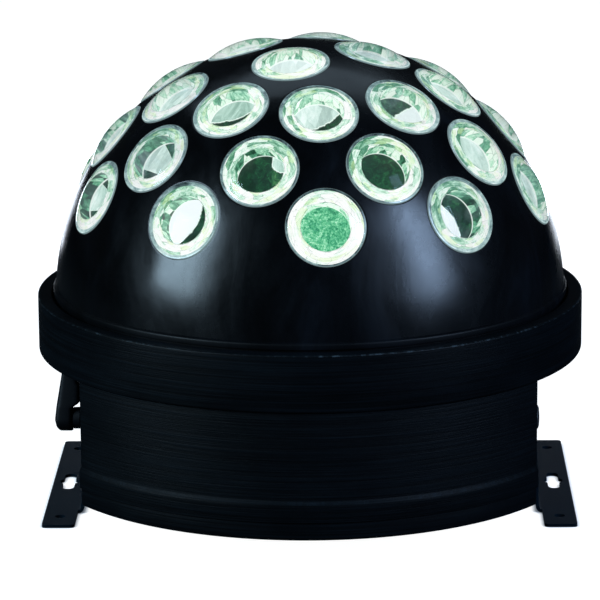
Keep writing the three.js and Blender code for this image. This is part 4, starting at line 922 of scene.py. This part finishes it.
print("stage: housing")
housing = {"radius": 170.0, "side": 139.2, "rear": 142.0, "inset": 1.1, "wall": 2.5, "slope": 3.0,
           "corner": 2.4, "frontSteps": 150, "rearSteps": 16, "joint": 0.3, "window": (159.8, 35.0, 2.0),
           "cutDepth": 8.0, "cutIn": 2.0, "wallEdges": [0.7, 0.5, 0.4, 0.2, 0.2, 0.2],
           "panEdges": [1.2, 0.4, 0.2, 0.1], "boss": 12.0, "bossHigh": 1.1, "bossDish": 4.3, "vents": 9,
           "ventPitch": 11.0,
           "ventLength": 46.0, "ventWidth": 4.0, "ventY": -98.0, "panThick": 2.0, "screwCircle": 156.0,
           "screwAngles": (-125, -55, 46, 134)}


def housingOutline(inset, h):
    # circle cut off straight at both sides and at the back, its upright edges drawn as short curves
    r, side, back = h["radius"] - inset, h["side"] - inset, h["rear"] - inset
    right, rear = math.acos(side / r), math.asin(back / r)
    arcs = [arcPoints(r, right - math.pi, -right, h["frontSteps"]), arcPoints(r, right, rear, h["rearSteps"]),
            arcPoints(r, math.pi - rear, math.pi - right, h["rearSteps"])]
    reach = np.concatenate([np.r_[h["corner"], np.zeros(len(arc) - 2), h["corner"]] for arc in arcs])
    curved = roundCorners(np.concatenate(arcs), reach, 4, closed=True).reshape(len(reach), -1, 2)
    return np.concatenate([corner if cut else corner[:1] for corner, cut in zip(curved, reach)])


def carriedRound(profile, h):
    # a profile of inset and height carried round the housing's outline
    outlines = [housingOutline(inset, h) for inset, _ in profile]
    return loft(outlines, [height for _, height in profile], closed=True)


def cutAway(piece, shape):
    # takes a closed shape out of a piece for good
    mesh = bpy.data.meshes.new("cutter")
    mesh.from_pydata((shape[0] * millimetre).tolist(), [], shape[1])
    mergeDoubles(mesh)
    cutter = newObject("cutter", mesh)
    step = piece.modifiers.new("cut", "BOOLEAN")
    step.object, step.operation, step.solver = cutter, "DIFFERENCE", "EXACT"
    bpy.context.view_layer.update()
    piece.data = bpy.data.meshes.new_from_object(piece.evaluated_get(bpy.context.evaluated_depsgraph_get()))
    piece.modifiers.remove(step)
    piece.data.set_sharp_from_angle(angle=math.radians(sharpAngle))
    bpy.data.objects.remove(cutter)


def wallShape(h):
    # the wall's section carried round the outline, and a dished boss on each side for the foot's pivot
    low, top, skirt = heights["bandTop"] + h["joint"], heights["ringBottom"] - h["joint"], heights["skirtTop"]
    inner, high = h["inset"] + h["wall"], h["bossHigh"]
    profile = roundCorners([
        (0, low), (0, skirt - h["slope"]), (h["inset"], skirt), (h["inset"], top), (inner, top),
        (inner, low)], h["wallEdges"], 3, closed=True)
    boss = revolve([(0, 0), (h["boss"], 0), (h["boss"], high - 0.3), (h["boss"] - 0.3, high),
                    (h["bossDish"], high), (h["bossDish"], 0.4), (0, 0.4)], 48)
    bosses = [alongX(boss, h["side"] - h["inset"], heights["pivot"], side) for side in (-1, 1)]
    return joinShapes(carriedRound(profile, h), *bosses)


wallPiece = makePiece("housingWall", wallShape(housing), "wall", "housing", ["side_wall"])
windowCut = plate(roundedBox(*housing["window"]), -housing["cutDepth"], housing["cutDepth"])
cutAway(wallPiece, standUp(windowCut, 0, housing["rear"] - housing["cutIn"], heights["panelMiddle"]))


def panShape(h):
    # a band carried round the outline, and a floor with vent slots at the front
    low, top, inner = heights["panBottom"], heights["bandTop"], h["inset"] + h["wall"]
    band = roundCorners([(h["inset"], low), (h["inset"], top), (inner, top), (inner, low)],
                        h["panEdges"], 3, closed=True)
    slot = roundedBox(h["ventWidth"], h["ventLength"], h["ventWidth"] / 2)
    vents = [slot + ((i - (h["vents"] - 1) / 2) * h["ventPitch"], h["ventY"]) for i in range(h["vents"])]
    floor = plate(housingOutline(inner, h), low, low + h["panThick"], vents)
    return joinShapes(carriedRound(band, h), floor)


makePiece("basePanShell", panShape(housing), "pan", "housing", ["base_pan"], bevel=0.3)

print("stage: feet")
foot = {"length": 184.0, "outer": 163.5, "inner": 143.5, "bend": 4.0, "bendSteps": 8, "sheet": 2.0,
        "corner": 3.0, "tabCorner": 0.35, "neck": 62.0, "tab": 14.0, "slotWidth": 7.5, "slotLength": 33.0,
        "eye": 6.0, "hole": 3.25, "holeY": 74.5, "stud": 4.3, "edge": 0.35}


def slotWithEye(f):
    # long slot with a round widening in its middle
    w, e, quarter = f["slotWidth"] / 2, f["eye"], math.pi / 2
    l, meet = f["slotLength"] / 2 - w, math.asin(w / e)
    return np.concatenate([
        arcPoints(w, 0, math.pi, 12, (0, l)), arcPoints(e, quarter + meet, 3 * quarter - meet, 14),
        arcPoints(w, math.pi, 2 * math.pi, 12, (0, -l)), arcPoints(e, meet - quarter, quarter - meet, 14)])


def bracketShape(f):
    # the sheet drawn flat: s runs from the foot's outer edge over the bend up the tab, y along the foot; it
    # is then bent: flat up to the bend, a quarter turn of the bend's radius, and straight up
    width, r, neck, half = f["outer"] - f["inner"], f["bend"], f["neck"], f["length"] / 2
    turn, rise = r * math.pi / 2, heights["pivot"] - r
    lean = math.atan2(neck - f["tab"], rise)
    pivotS = width + turn + rise
    overBend = np.linspace(width, width + turn, f["bendSteps"] + 1)
    top = arcPoints(f["tab"], lean - math.pi / 2, math.pi / 2 - lean, 28, (pivotS, 0))
    lowSide = np.column_stack([overBend, np.full(len(overBend), -neck)])
    corners = np.concatenate([[(0, -half), (width, -half)], lowSide, top, lowSide[::-1] * (1, -1),
                              [(width, half), (0, half)]])
    reach = np.zeros(len(corners))
    reach[[0, 1, -2, -1]] = f["corner"]
    reach[[1 + len(lowSide), 2 + len(lowSide) + len(top)]] = f["tabCorner"]
    outline = roundCorners(corners, reach, 5, closed=True)
    outline = outline[np.linalg.norm(outline - np.roll(outline, 1, 0), axis=1) > 1e-6]
    middle = width / 2
    holes = [slotWithEye(f) + (middle, 0), circlePoints(f["hole"], 28, middle, -f["holeY"]),
             circlePoints(f["hole"], 28, middle, f["holeY"]), circlePoints(f["stud"], 28, pivotS, 0)]
    grid = np.stack(np.meshgrid(overBend, np.linspace(-neck, neck, 41)[1:-1]), -1).reshape(-1, 2)
    points, faces = plate(outline, 0, f["sheet"], holes, [grid])
    s, y, depth = points.T
    angle = np.clip((s - width) / r, 0, math.pi / 2)
    x = f["outer"] - np.minimum(s, width) - r * np.sin(angle) + depth * np.sin(angle)
    z = r - r * np.cos(angle) + np.maximum(s - width - turn, 0) + depth * np.cos(angle)
    return np.stack([x, y, z], -1), faces


bracket = bracketShape(foot)
makePiece("rightFoot", bracket, "foot", "right_foot", ["right_bracket"], bevel=foot["edge"])
makePiece("leftFoot", placed(bracket, turn=(-1, -1, 1)), "foot", "left_foot", ["left_bracket"],
          bevel=foot["edge"])

print("stage: clamp lever and pivot bolt")
lever = {"base": 141.5, "hub": 8.2, "tip": 4.6, "reach": 35.0, "round": 0.42, "columns": 40, "studTurns": 48,
         # distance of the arm's outer and inner face from the base, going up, and where the inner one turns
         "outer": (16.9, 19.2, 20.1, 19.1, 15.2, 13.9), "inner": (8.9, 8.8, 8.5, 4.1, 4.2, 5.3, 6.5, 7.5),
         "hollow": (7.6, 11, 22.8, 23.2),
         # radius and distance from the base, from the stud's end over its collar to the hub
         "stud": [(0, -14), (3.6, -14), (4.0, -13.6), (4.0, 0.3), (6.5, 0.3), (6.9, 0.7), (6.9, 3.0),
                  (6.5, 3.4), (6.5, 4.0), (6.9, 4.4), (6.9, 8.2), (6.4, 8.65), (0, 8.65)]}


def leverShape(v):
    # sections up the arm: half width follows the outline round hub and tip, inner and outer face follow the
    # side view, and each section is a rounded oblong (superellipse)
    hub, tip, tipZ, n = v["hub"], v["tip"], v["reach"] - v["tip"], v["columns"]
    lean = math.asin((hub - tip) / tipZ)
    z = np.concatenate([
        np.linspace(-hub, -hub * 0.7, 6), np.linspace(-hub * 0.6, hub * 0.4, 8),
        np.linspace(hub * 0.5, tipZ, 26), tipZ + tip * np.sin(np.linspace(0.12, math.pi / 2, 9))])
    lowJoin, highJoin = hub * math.sin(lean), tipZ + tip * math.sin(lean)
    hubHalf = np.sqrt(np.maximum(hub**2 - z**2, 0.02))
    tipHalf = np.sqrt(np.maximum(tip**2 - (z - tipZ)**2, 0.02))
    straight = np.interp(z, [lowJoin, highJoin], [hub * math.cos(lean), tip * math.cos(lean)])
    half = np.where(z < lowJoin, hubHalf, np.where(z > highJoin, tipHalf, straight))[:, None]
    start, under, over, end = v["hollow"]
    outer = np.interp(z, [-hub, -tip, 0, hub, tipZ, v["reach"]], v["outer"])[:, None]
    inner = np.interp(z, [-hub, start, hub, under, over, end, tipZ, v["reach"]], v["inner"])[:, None]
    c, s = circlePoints(1.0, n).T
    u, w = np.sign(c) * np.abs(c)**v["round"], np.sign(s) * np.abs(s)**v["round"]
    x = (outer + inner) / 2 + (outer - inner) / 2 * u
    rings = np.stack([x, half * w, np.repeat(z[:, None], n, 1)], -1)
    ends = [np.repeat(ring.mean(0)[None], n, 0)[None] for ring in (rings[0], rings[-1])]
    points = np.concatenate([ends[0], rings, ends[1]]).reshape(-1, 3)
    stud, studFaces = revolve(v["stud"], v["studTurns"])
    return joinShapes((points, gridFaces(len(z) + 2, n, wrapColumns=True)), (stud[:, ::-1], studFaces))


makePiece("clampLever", placed(leverShape(lever), (-lever["base"], 0, heights["pivot"]), (-1, -1, 1)),
          "lever", "clamp", ["clamp_lever"])
pivot = {"base": 141.8, "head": 8.0, "high": 2.5, "across": 4.6, "deep": 1.6, "stem": 4.0, "length": 13.7}


def socketScrew(v):
    # rings from the shank over the domed head to the six-sided recess
    ring = circlePoints(1.0, 48)
    sector = (np.arange(48) / 48 * 2 * np.pi + math.pi / 6) % (math.pi / 3) - math.pi / 6
    six = ring * (v["across"] / 2 / np.cos(sector))[:, None]
    head, high, floor = v["head"], v["high"], v["high"] - v["deep"]
    crown = [(head, 0), (head, high * 0.3), (head * 0.97, high * 0.5), (head * 0.88, high * 0.74),
             (head * 0.74, high * 0.9), (v["across"] * 0.66, high)]
    radii = [0, v["stem"], v["stem"], *(radius for radius, _ in crown)]
    levels = [-v["length"], -v["length"], 0, *(height for _, height in crown), high, floor, floor]
    return loft([*(ring * radius for radius in radii), six, six * 0.98, six * 0], levels)


makePiece("pivotScrew", alongX(socketScrew(pivot), pivot["base"], heights["pivot"]),
          "blackSteel", "housing", ["right_pivot_bolt"])

print("stage: screws")
screws = {  # radius and height of the head, radius and length of the shank
    "pan": (3.1, 2.0, 1.45, 8.0), "panel": (2.9, 1.9, 1.45, 6.6), "socket": (1.9, 1.0, 1.1, 1.4),
    "inlet": (2.6, 1.3, 1.4, 2.2),
}


def cross(long, short, at):
    # outline of a cross recess: twelve corners, turned by an angle
    corners = np.array([
        (short, long), (-short, long), (-short, short), (-long, short), (-long, -short), (-short, -short),
        (-short, -long), (short, -long), (short, -short), (long, -short), (long, short), (short, short)])
    c, n = math.cos(at), math.sin(at)
    return corners @ np.array([(c, n), (-n, c)])


def panScrew(kind, at):
    # rings carried from the shank over the domed head; the head's top is a sheet with a cross left open, and
    # the recess is a tapered well under it
    head, high, shank, length = screws[kind]
    ring, seat = circlePoints(1.0, 40), 0.02
    crown = [(head, seat), (head, high * 0.35), (head * 0.95, high * 0.62), (head * 0.82, high * 0.86),
             (head * 0.64, high)]
    radii = [0, shank, shank, *(radius for radius, _ in crown)]
    levels = [-length, -length, seat, *(height for _, height in crown)]
    body = loft([ring * radius for radius in radii], levels)
    mouth = cross(head * 0.48, head * 0.11, at)
    well = loft([mouth, mouth * 0.8, mouth * 0], [high, high * 0.35, high * 0.3])
    return joinShapes(body, atLevel(flatSheet(ring * radii[-1], [mouth]), high), well)


for i, angle in enumerate(np.radians(housing["screwAngles"])):
    x, y = housing["screwCircle"] * np.cos(angle), housing["screwCircle"] * np.sin(angle)
    screw = placed(panScrew("pan", 0.7 * i), (x, y, heights["panBottom"]), (1, -1, -1))
    makePiece(f"panScrew{i + 1}", screw, "blackSteel", "housing")

print("stage: rear panel")
panel = {"width": 175.934, "height": 45.0, "corner": 4.0, "back": 141.2, "face": 142.7, "edge": 0.25,
         "screwIn": 4.0, "hole": 1.8, "inX": -14.99, "outX": 17.487, "inletX": 58.967, "displayX": -55.467,
         "displayUp": 9.5, "buttonDown": 9.0, "buttonPitch": 9.8, "buttonHole": 3.7, "socketHole": 12.1,
         "inletHole": (30.6, 30.6, 0.8), "displayHole": (39.4, 14.4, 0.6)}
buttonX = [panel["displayX"] + (i - 1.5) * panel["buttonPitch"] for i in range(4)]
middleZ = heights["panelMiddle"]
panelFront = panel["face"] + 0.3  # the flanges stand this far off the sheet
screwX, screwZ = panel["width"] / 2 - panel["screwIn"], panel["height"] / 2 - panel["screwIn"]


def panelShape(v):
    # sheet with every opening, drawn flat and stood up
    holes = [circlePoints(v["hole"], 20, x, z) for x in (-screwX, screwX) for z in (-screwZ, screwZ)]
    holes += [circlePoints(v["socketHole"], 48, place, 0) for place in (v["inX"], v["outX"])]
    holes += [circlePoints(v["buttonHole"], 28, place, -v["buttonDown"]) for place in buttonX]
    holes.append(roundedBox(*v["inletHole"], 3) + (v["inletX"], 0))
    holes.append(roundedBox(*v["displayHole"], 3) + (v["displayX"], v["displayUp"]))
    outline = roundedBox(v["width"], v["height"], v["corner"], 10)
    return standUp(plate(outline, v["back"], v["face"], holes), 0, 0, middleZ)


makePiece("rearSheet", panelShape(panel), "panel", "housing", ["rear_panel"],
          bevel=panel["edge"])
for side, sideName in ((-1, "Left"), (1, "Right")):
    for level, levelName in ((-1, "Low"), (1, "High")):
        x, z = side * screwX, middleZ + level * screwZ
        screw = facing(panScrew("panel", 0.5 * side + level), x, panel["face"], z)
        makePiece(f"panelScrew{sideName}{levelName}", screw, "blackSteel", "housing")

print("stage: signal sockets")
socket = {"width": 26.0, "height": 31.0, "thick": 1.6, "corner": 3.0, "edgeIn": (0.8, 1.3),
          "edgeBack": (0.55, 0.12), "body": 11.8, "depth": 20.0, "cup": 9.6, "cupDepth": 14.0, "mouth": 10.5,
          "key": (3.0, 1.4, 0.4), "pin": 1.2, "pinLength": 8.0, "circle": 4.0, "contact": 1.6,
          "contactDepth": 12.0, "screwX": 10.0, "screwZ": 12.4, "turns": 64}
contactPlaces = [(-socket["circle"], 0), (socket["circle"], 0), (0, -socket["circle"])]


def flangeShape(v, frontHoles, backHoles):
    # flange drawn flat, its front edge drawn in by a small curve: rings from the back to the front, between a
    # back and a front sheet
    rings = [roundedBox(v["width"] - less, v["height"] - less, v["corner"] - less / 2, 8)
             for less in (0, 0, *v["edgeIn"])]
    sides = loft(rings, [0, *(v["thick"] - back for back in v["edgeBack"]), v["thick"]])
    return joinShapes(sides, atLevel(flatSheet(rings[-1], frontHoles), v["thick"]),
                      atLevel(flatSheet(rings[0], backHoles), 0, flip=True))


def socketShell(v):
    # flange, and the body behind it as a profile round the socket's axis
    opening = [circlePoints(v["mouth"], v["turns"])]
    back = v["thick"] - v["depth"]
    body = revolve([(v["mouth"], 0), (v["body"], 0), (v["body"], back), (0, back)], v["turns"])
    return flangeShape(v, opening, opening), body


def inTwo(shell, *inserts):
    # a shell and the metal parts in it as one shape, and which faces are metal
    shape = joinShapes(shell, *inserts)
    return shape, np.arange(len(shape[1])) >= len(shell[1])


def socketIn(v):
    # shell with a cup, a key and three pins with round tips
    front, cup, tip, radius = v["thick"], v["cup"], v["pinLength"], v["pin"]
    floor = front - v["cupDepth"]
    flange, body = socketShell(v)
    well = revolve([(v["mouth"], front), (cup + 0.55, front), (cup, front - 0.5), (cup, floor), (0, floor)],
                   v["turns"])
    key = plate(roundedBox(*v["key"], 3) + (0, cup - 0.6), floor, front - 1.4)
    pin = revolve([(0, tip), (0.5, tip - 0.1), (0.95, tip - 0.55), (radius, tip - 1.3), (radius, 0)], 24)
    return inTwo(joinShapes(flange, well, body, key), *[placed(pin, (x, y, floor)) for x, y in contactPlaces])


def socketOut(v):
    # shell with a flat insert inside a groove: three contact holes, each with a countersunk mouth and a floor
    front, cup, hole = v["thick"], v["cup"], v["contact"]
    top, insert, mouth, floor = front - 0.05, cup - 1.8, hole + 0.35, front - v["contactDepth"]
    flange, body = socketShell(v)
    groove = revolve([(v["mouth"], front), (cup, front - 0.5), (cup, front - 1.5), (cup - 1.5, front - 1.5),
                      (cup - 1.5, front - 0.35), (insert, top)], v["turns"])
    mouths = [circlePoints(mouth, 24, x, y) for x, y in contactPlaces]
    face = flatSheet(circlePoints(insert, v["turns"]), mouths)
    well = revolve([(mouth, top), (hole, front - 0.4), (hole, floor), (0, floor)], 24)
    wells = [placed(well, (x, y, 0)) for x, y in contactPlaces]
    return joinShapes(flange, groove, body, atLevel(face, top), *wells)


shape, shades = socketIn(socket)
makePiece("signalInSocket", facing(shape, panel["inX"], panelFront, middleZ), ("blackSteel", "steel"),
          "housing", ["dmx_in"], shades=shades)
makePiece("signalOutSocket", facing(socketOut(socket), panel["outX"], panelFront, middleZ), "blackSteel",
          "housing", ["dmx_out"])
for name, place in (("In", panel["inX"]), ("Out", panel["outX"])):
    for corner, side in enumerate((-1, 1)):
        x, z = place + side * socket["screwX"], middleZ - side * socket["screwZ"]
        screw = facing(panScrew("socket", 0.9 * corner + 0.3), x, panelFront + socket["thick"], z)
        makePiece(f"socketScrew{name}{corner + 1}", screw, "blackSteel", "housing")

print("stage: mains inlet and fuse drawer")
inlet = {"width": 44.0, "height": 34.0, "thick": 2.4, "corner": 3.0, "edgeIn": (0.9, 1.6),
         "edgeBack": (0.7, 0.16), "body": (30.0, 30.0, 0.8), "depth": 24.0, "plugW": 24.6, "plugH": 16.4,
         "clip": 4.5, "plugRound": 0.8, "plugDepth": 17.0, "plugUp": 4.4, "lead": 0.5,
         "blade": (2.0, 4.0, 0.3),
         "bladeL": 10.0, "bladeX": 7.0, "bladeUp": 3.0, "fuse": (22.6, 7.6, 0.5), "fuseDown": 10.2,
         "fuseDepth": 20.3, "screwX": 18.6}
inletFront = panelFront + inlet["thick"]


def plugOutline(v, grow=0.0):
    # rectangle with its two upper corners clipped
    x, y, c = v["plugW"] / 2 + grow, v["plugH"] / 2 + grow, v["clip"]
    corners = [(-x, -y), (x, -y), (x, y - c), (x - c, y), (-x + c, y), (-x, y - c)]
    return roundCorners(corners, v["plugRound"], 4, closed=True) + (0, v["plugUp"])


def inletShape(v):
    # flange with two openings, the plug's cavity with its blades, the drawer's slot and the body behind
    front, floor, fuseFloor = v["thick"], v["thick"] - v["plugDepth"], v["thick"] - v["fuseDepth"]
    mouth, throat = plugOutline(v, v["lead"]), plugOutline(v)
    slot = roundedBox(*v["fuse"], 3) - (0, v["fuseDown"])
    trunk = roundedBox(*v["body"], 3)
    middle = throat * 0 + (0, v["plugUp"])
    shell = joinShapes(
        flangeShape(v, [mouth, slot], [trunk]),
        loft([mouth, throat, throat, middle], [front, front - v["lead"], floor, floor]),
        loft([slot, slot, slot * 0 - (0, v["fuseDown"])], [front, fuseFloor, fuseFloor]),
        loft([trunk, trunk, trunk * 0], [0, -v["depth"], -v["depth"]]))
    blade, tip = roundedBox(*v["blade"], 3), floor + v["bladeL"]
    blade = loft([blade, blade, blade * (0.55, 0.8), blade * 0], [floor, tip - 1.0, tip, tip])
    ups = [v["plugUp"] + (v["bladeUp"] if side == 0 else 0) - v["bladeUp"] / 2 for side in (-1, 0, 1)]
    return inTwo(shell, *[placed(blade, (side * v["bladeX"], up, 0)) for side, up in zip((-1, 0, 1), ups)])


shape, shades = inletShape(inlet)
makePiece("mainsInlet", facing(shape, panel["inletX"], panelFront, middleZ), ("inlet", "steel"), "housing",
          ["power_inlet"], shades=shades)
for side, sideName in ((-1, "Left"), (1, "Right")):
    x = panel["inletX"] + side * inlet["screwX"]
    screw = facing(panScrew("inlet", 0.4 + side), x, inletFront, middleZ)
    makePiece(f"inletScrew{sideName}", screw, "blackSteel", "housing")
drawer = {"body": (22.0, 7.0, 0.6), "back": -17.6, "seat": 0.3, "half": (12.0, 4.2), "front": 2.1,
          "edge": 0.8, "edgeBack": 0.4, "even": 10.2, "groove": 0.9, "grooveEnds": (6.4, 7.4)}


def drawerShape(v):
    # body in the slot, a face with a drawn-in edge and a finger groove across it (half of a circle)
    body = roundedBox(*v["body"], 3)
    trunk = loft([body * 0, body, body], [v["back"], v["back"], v["seat"]])
    (w, h), front, groove = v["half"], v["front"], v["groove"]
    x = np.concatenate([[-w, v["edge"] - w], np.linspace(-v["even"], v["even"], 9), [w - v["edge"], w]])
    a = np.linspace(0, math.pi, 13)
    side = np.array([h, h, h - 0.3, h - v["edge"]])
    across = np.concatenate([-side, -groove * np.cos(a), side[::-1]])
    rise = np.array([v["seat"], front - 0.4, front - 0.1, front])
    depth = np.concatenate([rise, front - groove * np.sin(a), rise[::-1]])
    ends = np.interp(np.abs(x), [0, *v["grooveEnds"], w], [1.0, 1.0, 0.0, 0.0])[:, None]
    edge = np.interp(np.abs(x), [0, w - v["edge"], w], [0.0, 0.0, v["edgeBack"]])[:, None]
    high = np.where(np.abs(across) <= groove, front - (front - depth) * ends, depth) - edge * (depth > 1.0)
    top = np.stack([np.repeat(x[:, None], len(across), 1), across * (1 - edge * 0.05), high], -1)
    caps = [np.repeat(row[[0, -1]].mean(0)[None], len(across), 0)[None] for row in (top[0], top[-1])]
    grid = np.concatenate([caps[0], top, caps[1]])
    return joinShapes(trunk, (grid.reshape(-1, 3), gridFaces(len(grid), len(across), wrapColumns=True)))


makePiece("fuseDrawer", facing(drawerShape(drawer), panel["inletX"], inletFront, middleZ - inlet["fuseDown"]),
          "inlet", "fuse_holder", ["fuse_drawer"])

print("stage: display and buttons")
display = {"block": (38.8, 13.8, 0.6), "lip": (42.0, 17.0, 1.6), "back": -5.0,
           "shares": [(1, 1), (1, 1), (0.987, 0.968), (0.965, 0.915), (0.955, 0.89), (0.6, 0.6), (0, 0)],
           "levels": [0.0, 0.45, 0.72, 0.80, 0.70, 0.72, 0.72]}


def displayShape(v):
    # lens-fronted window: rings from the block behind the sheet over the lip to a slightly raised middle
    block, lip = roundedBox(*v["block"]), roundedBox(*v["lip"])
    rings = [block * 0, block, block, *(lip * share for share in v["shares"])]
    return loft(rings, [v["back"], v["back"], 0.0, *v["levels"]])


glass = facing(displayShape(display), panel["displayX"], panelFront, middleZ + panel["displayUp"])
makePiece("displayGlass", glass, "smoked", "housing", ["display_window"])
# radius and height of each corner of a button, from its stem over the flange to its dished top, and how round
# each is
button = {"profile": [(0, -5.4), (1.7, -5.4), (1.7, -3.0), (4.6, -3.0), (4.6, -1.8), (3.4, -1.8), (3.4, 2.6),
                      (2.6, 2.6), (1.4, 2.3), (0, 2.2)],
          "round": [0, 0.3, 0.3, 0.3, 0.3, 0.2, 0.7, 0.3, 0.6, 0]}
for i, place in enumerate(buttonX):
    cap = revolve(roundCorners(button["profile"], button["round"], 4), 40)
    cap = facing(cap, place, panel["face"], middleZ - panel["buttonDown"])
    node = f"menu_button_{i + 1}"
    makePiece(f"menuButton{i + 1}", cap, "button", node, [node])
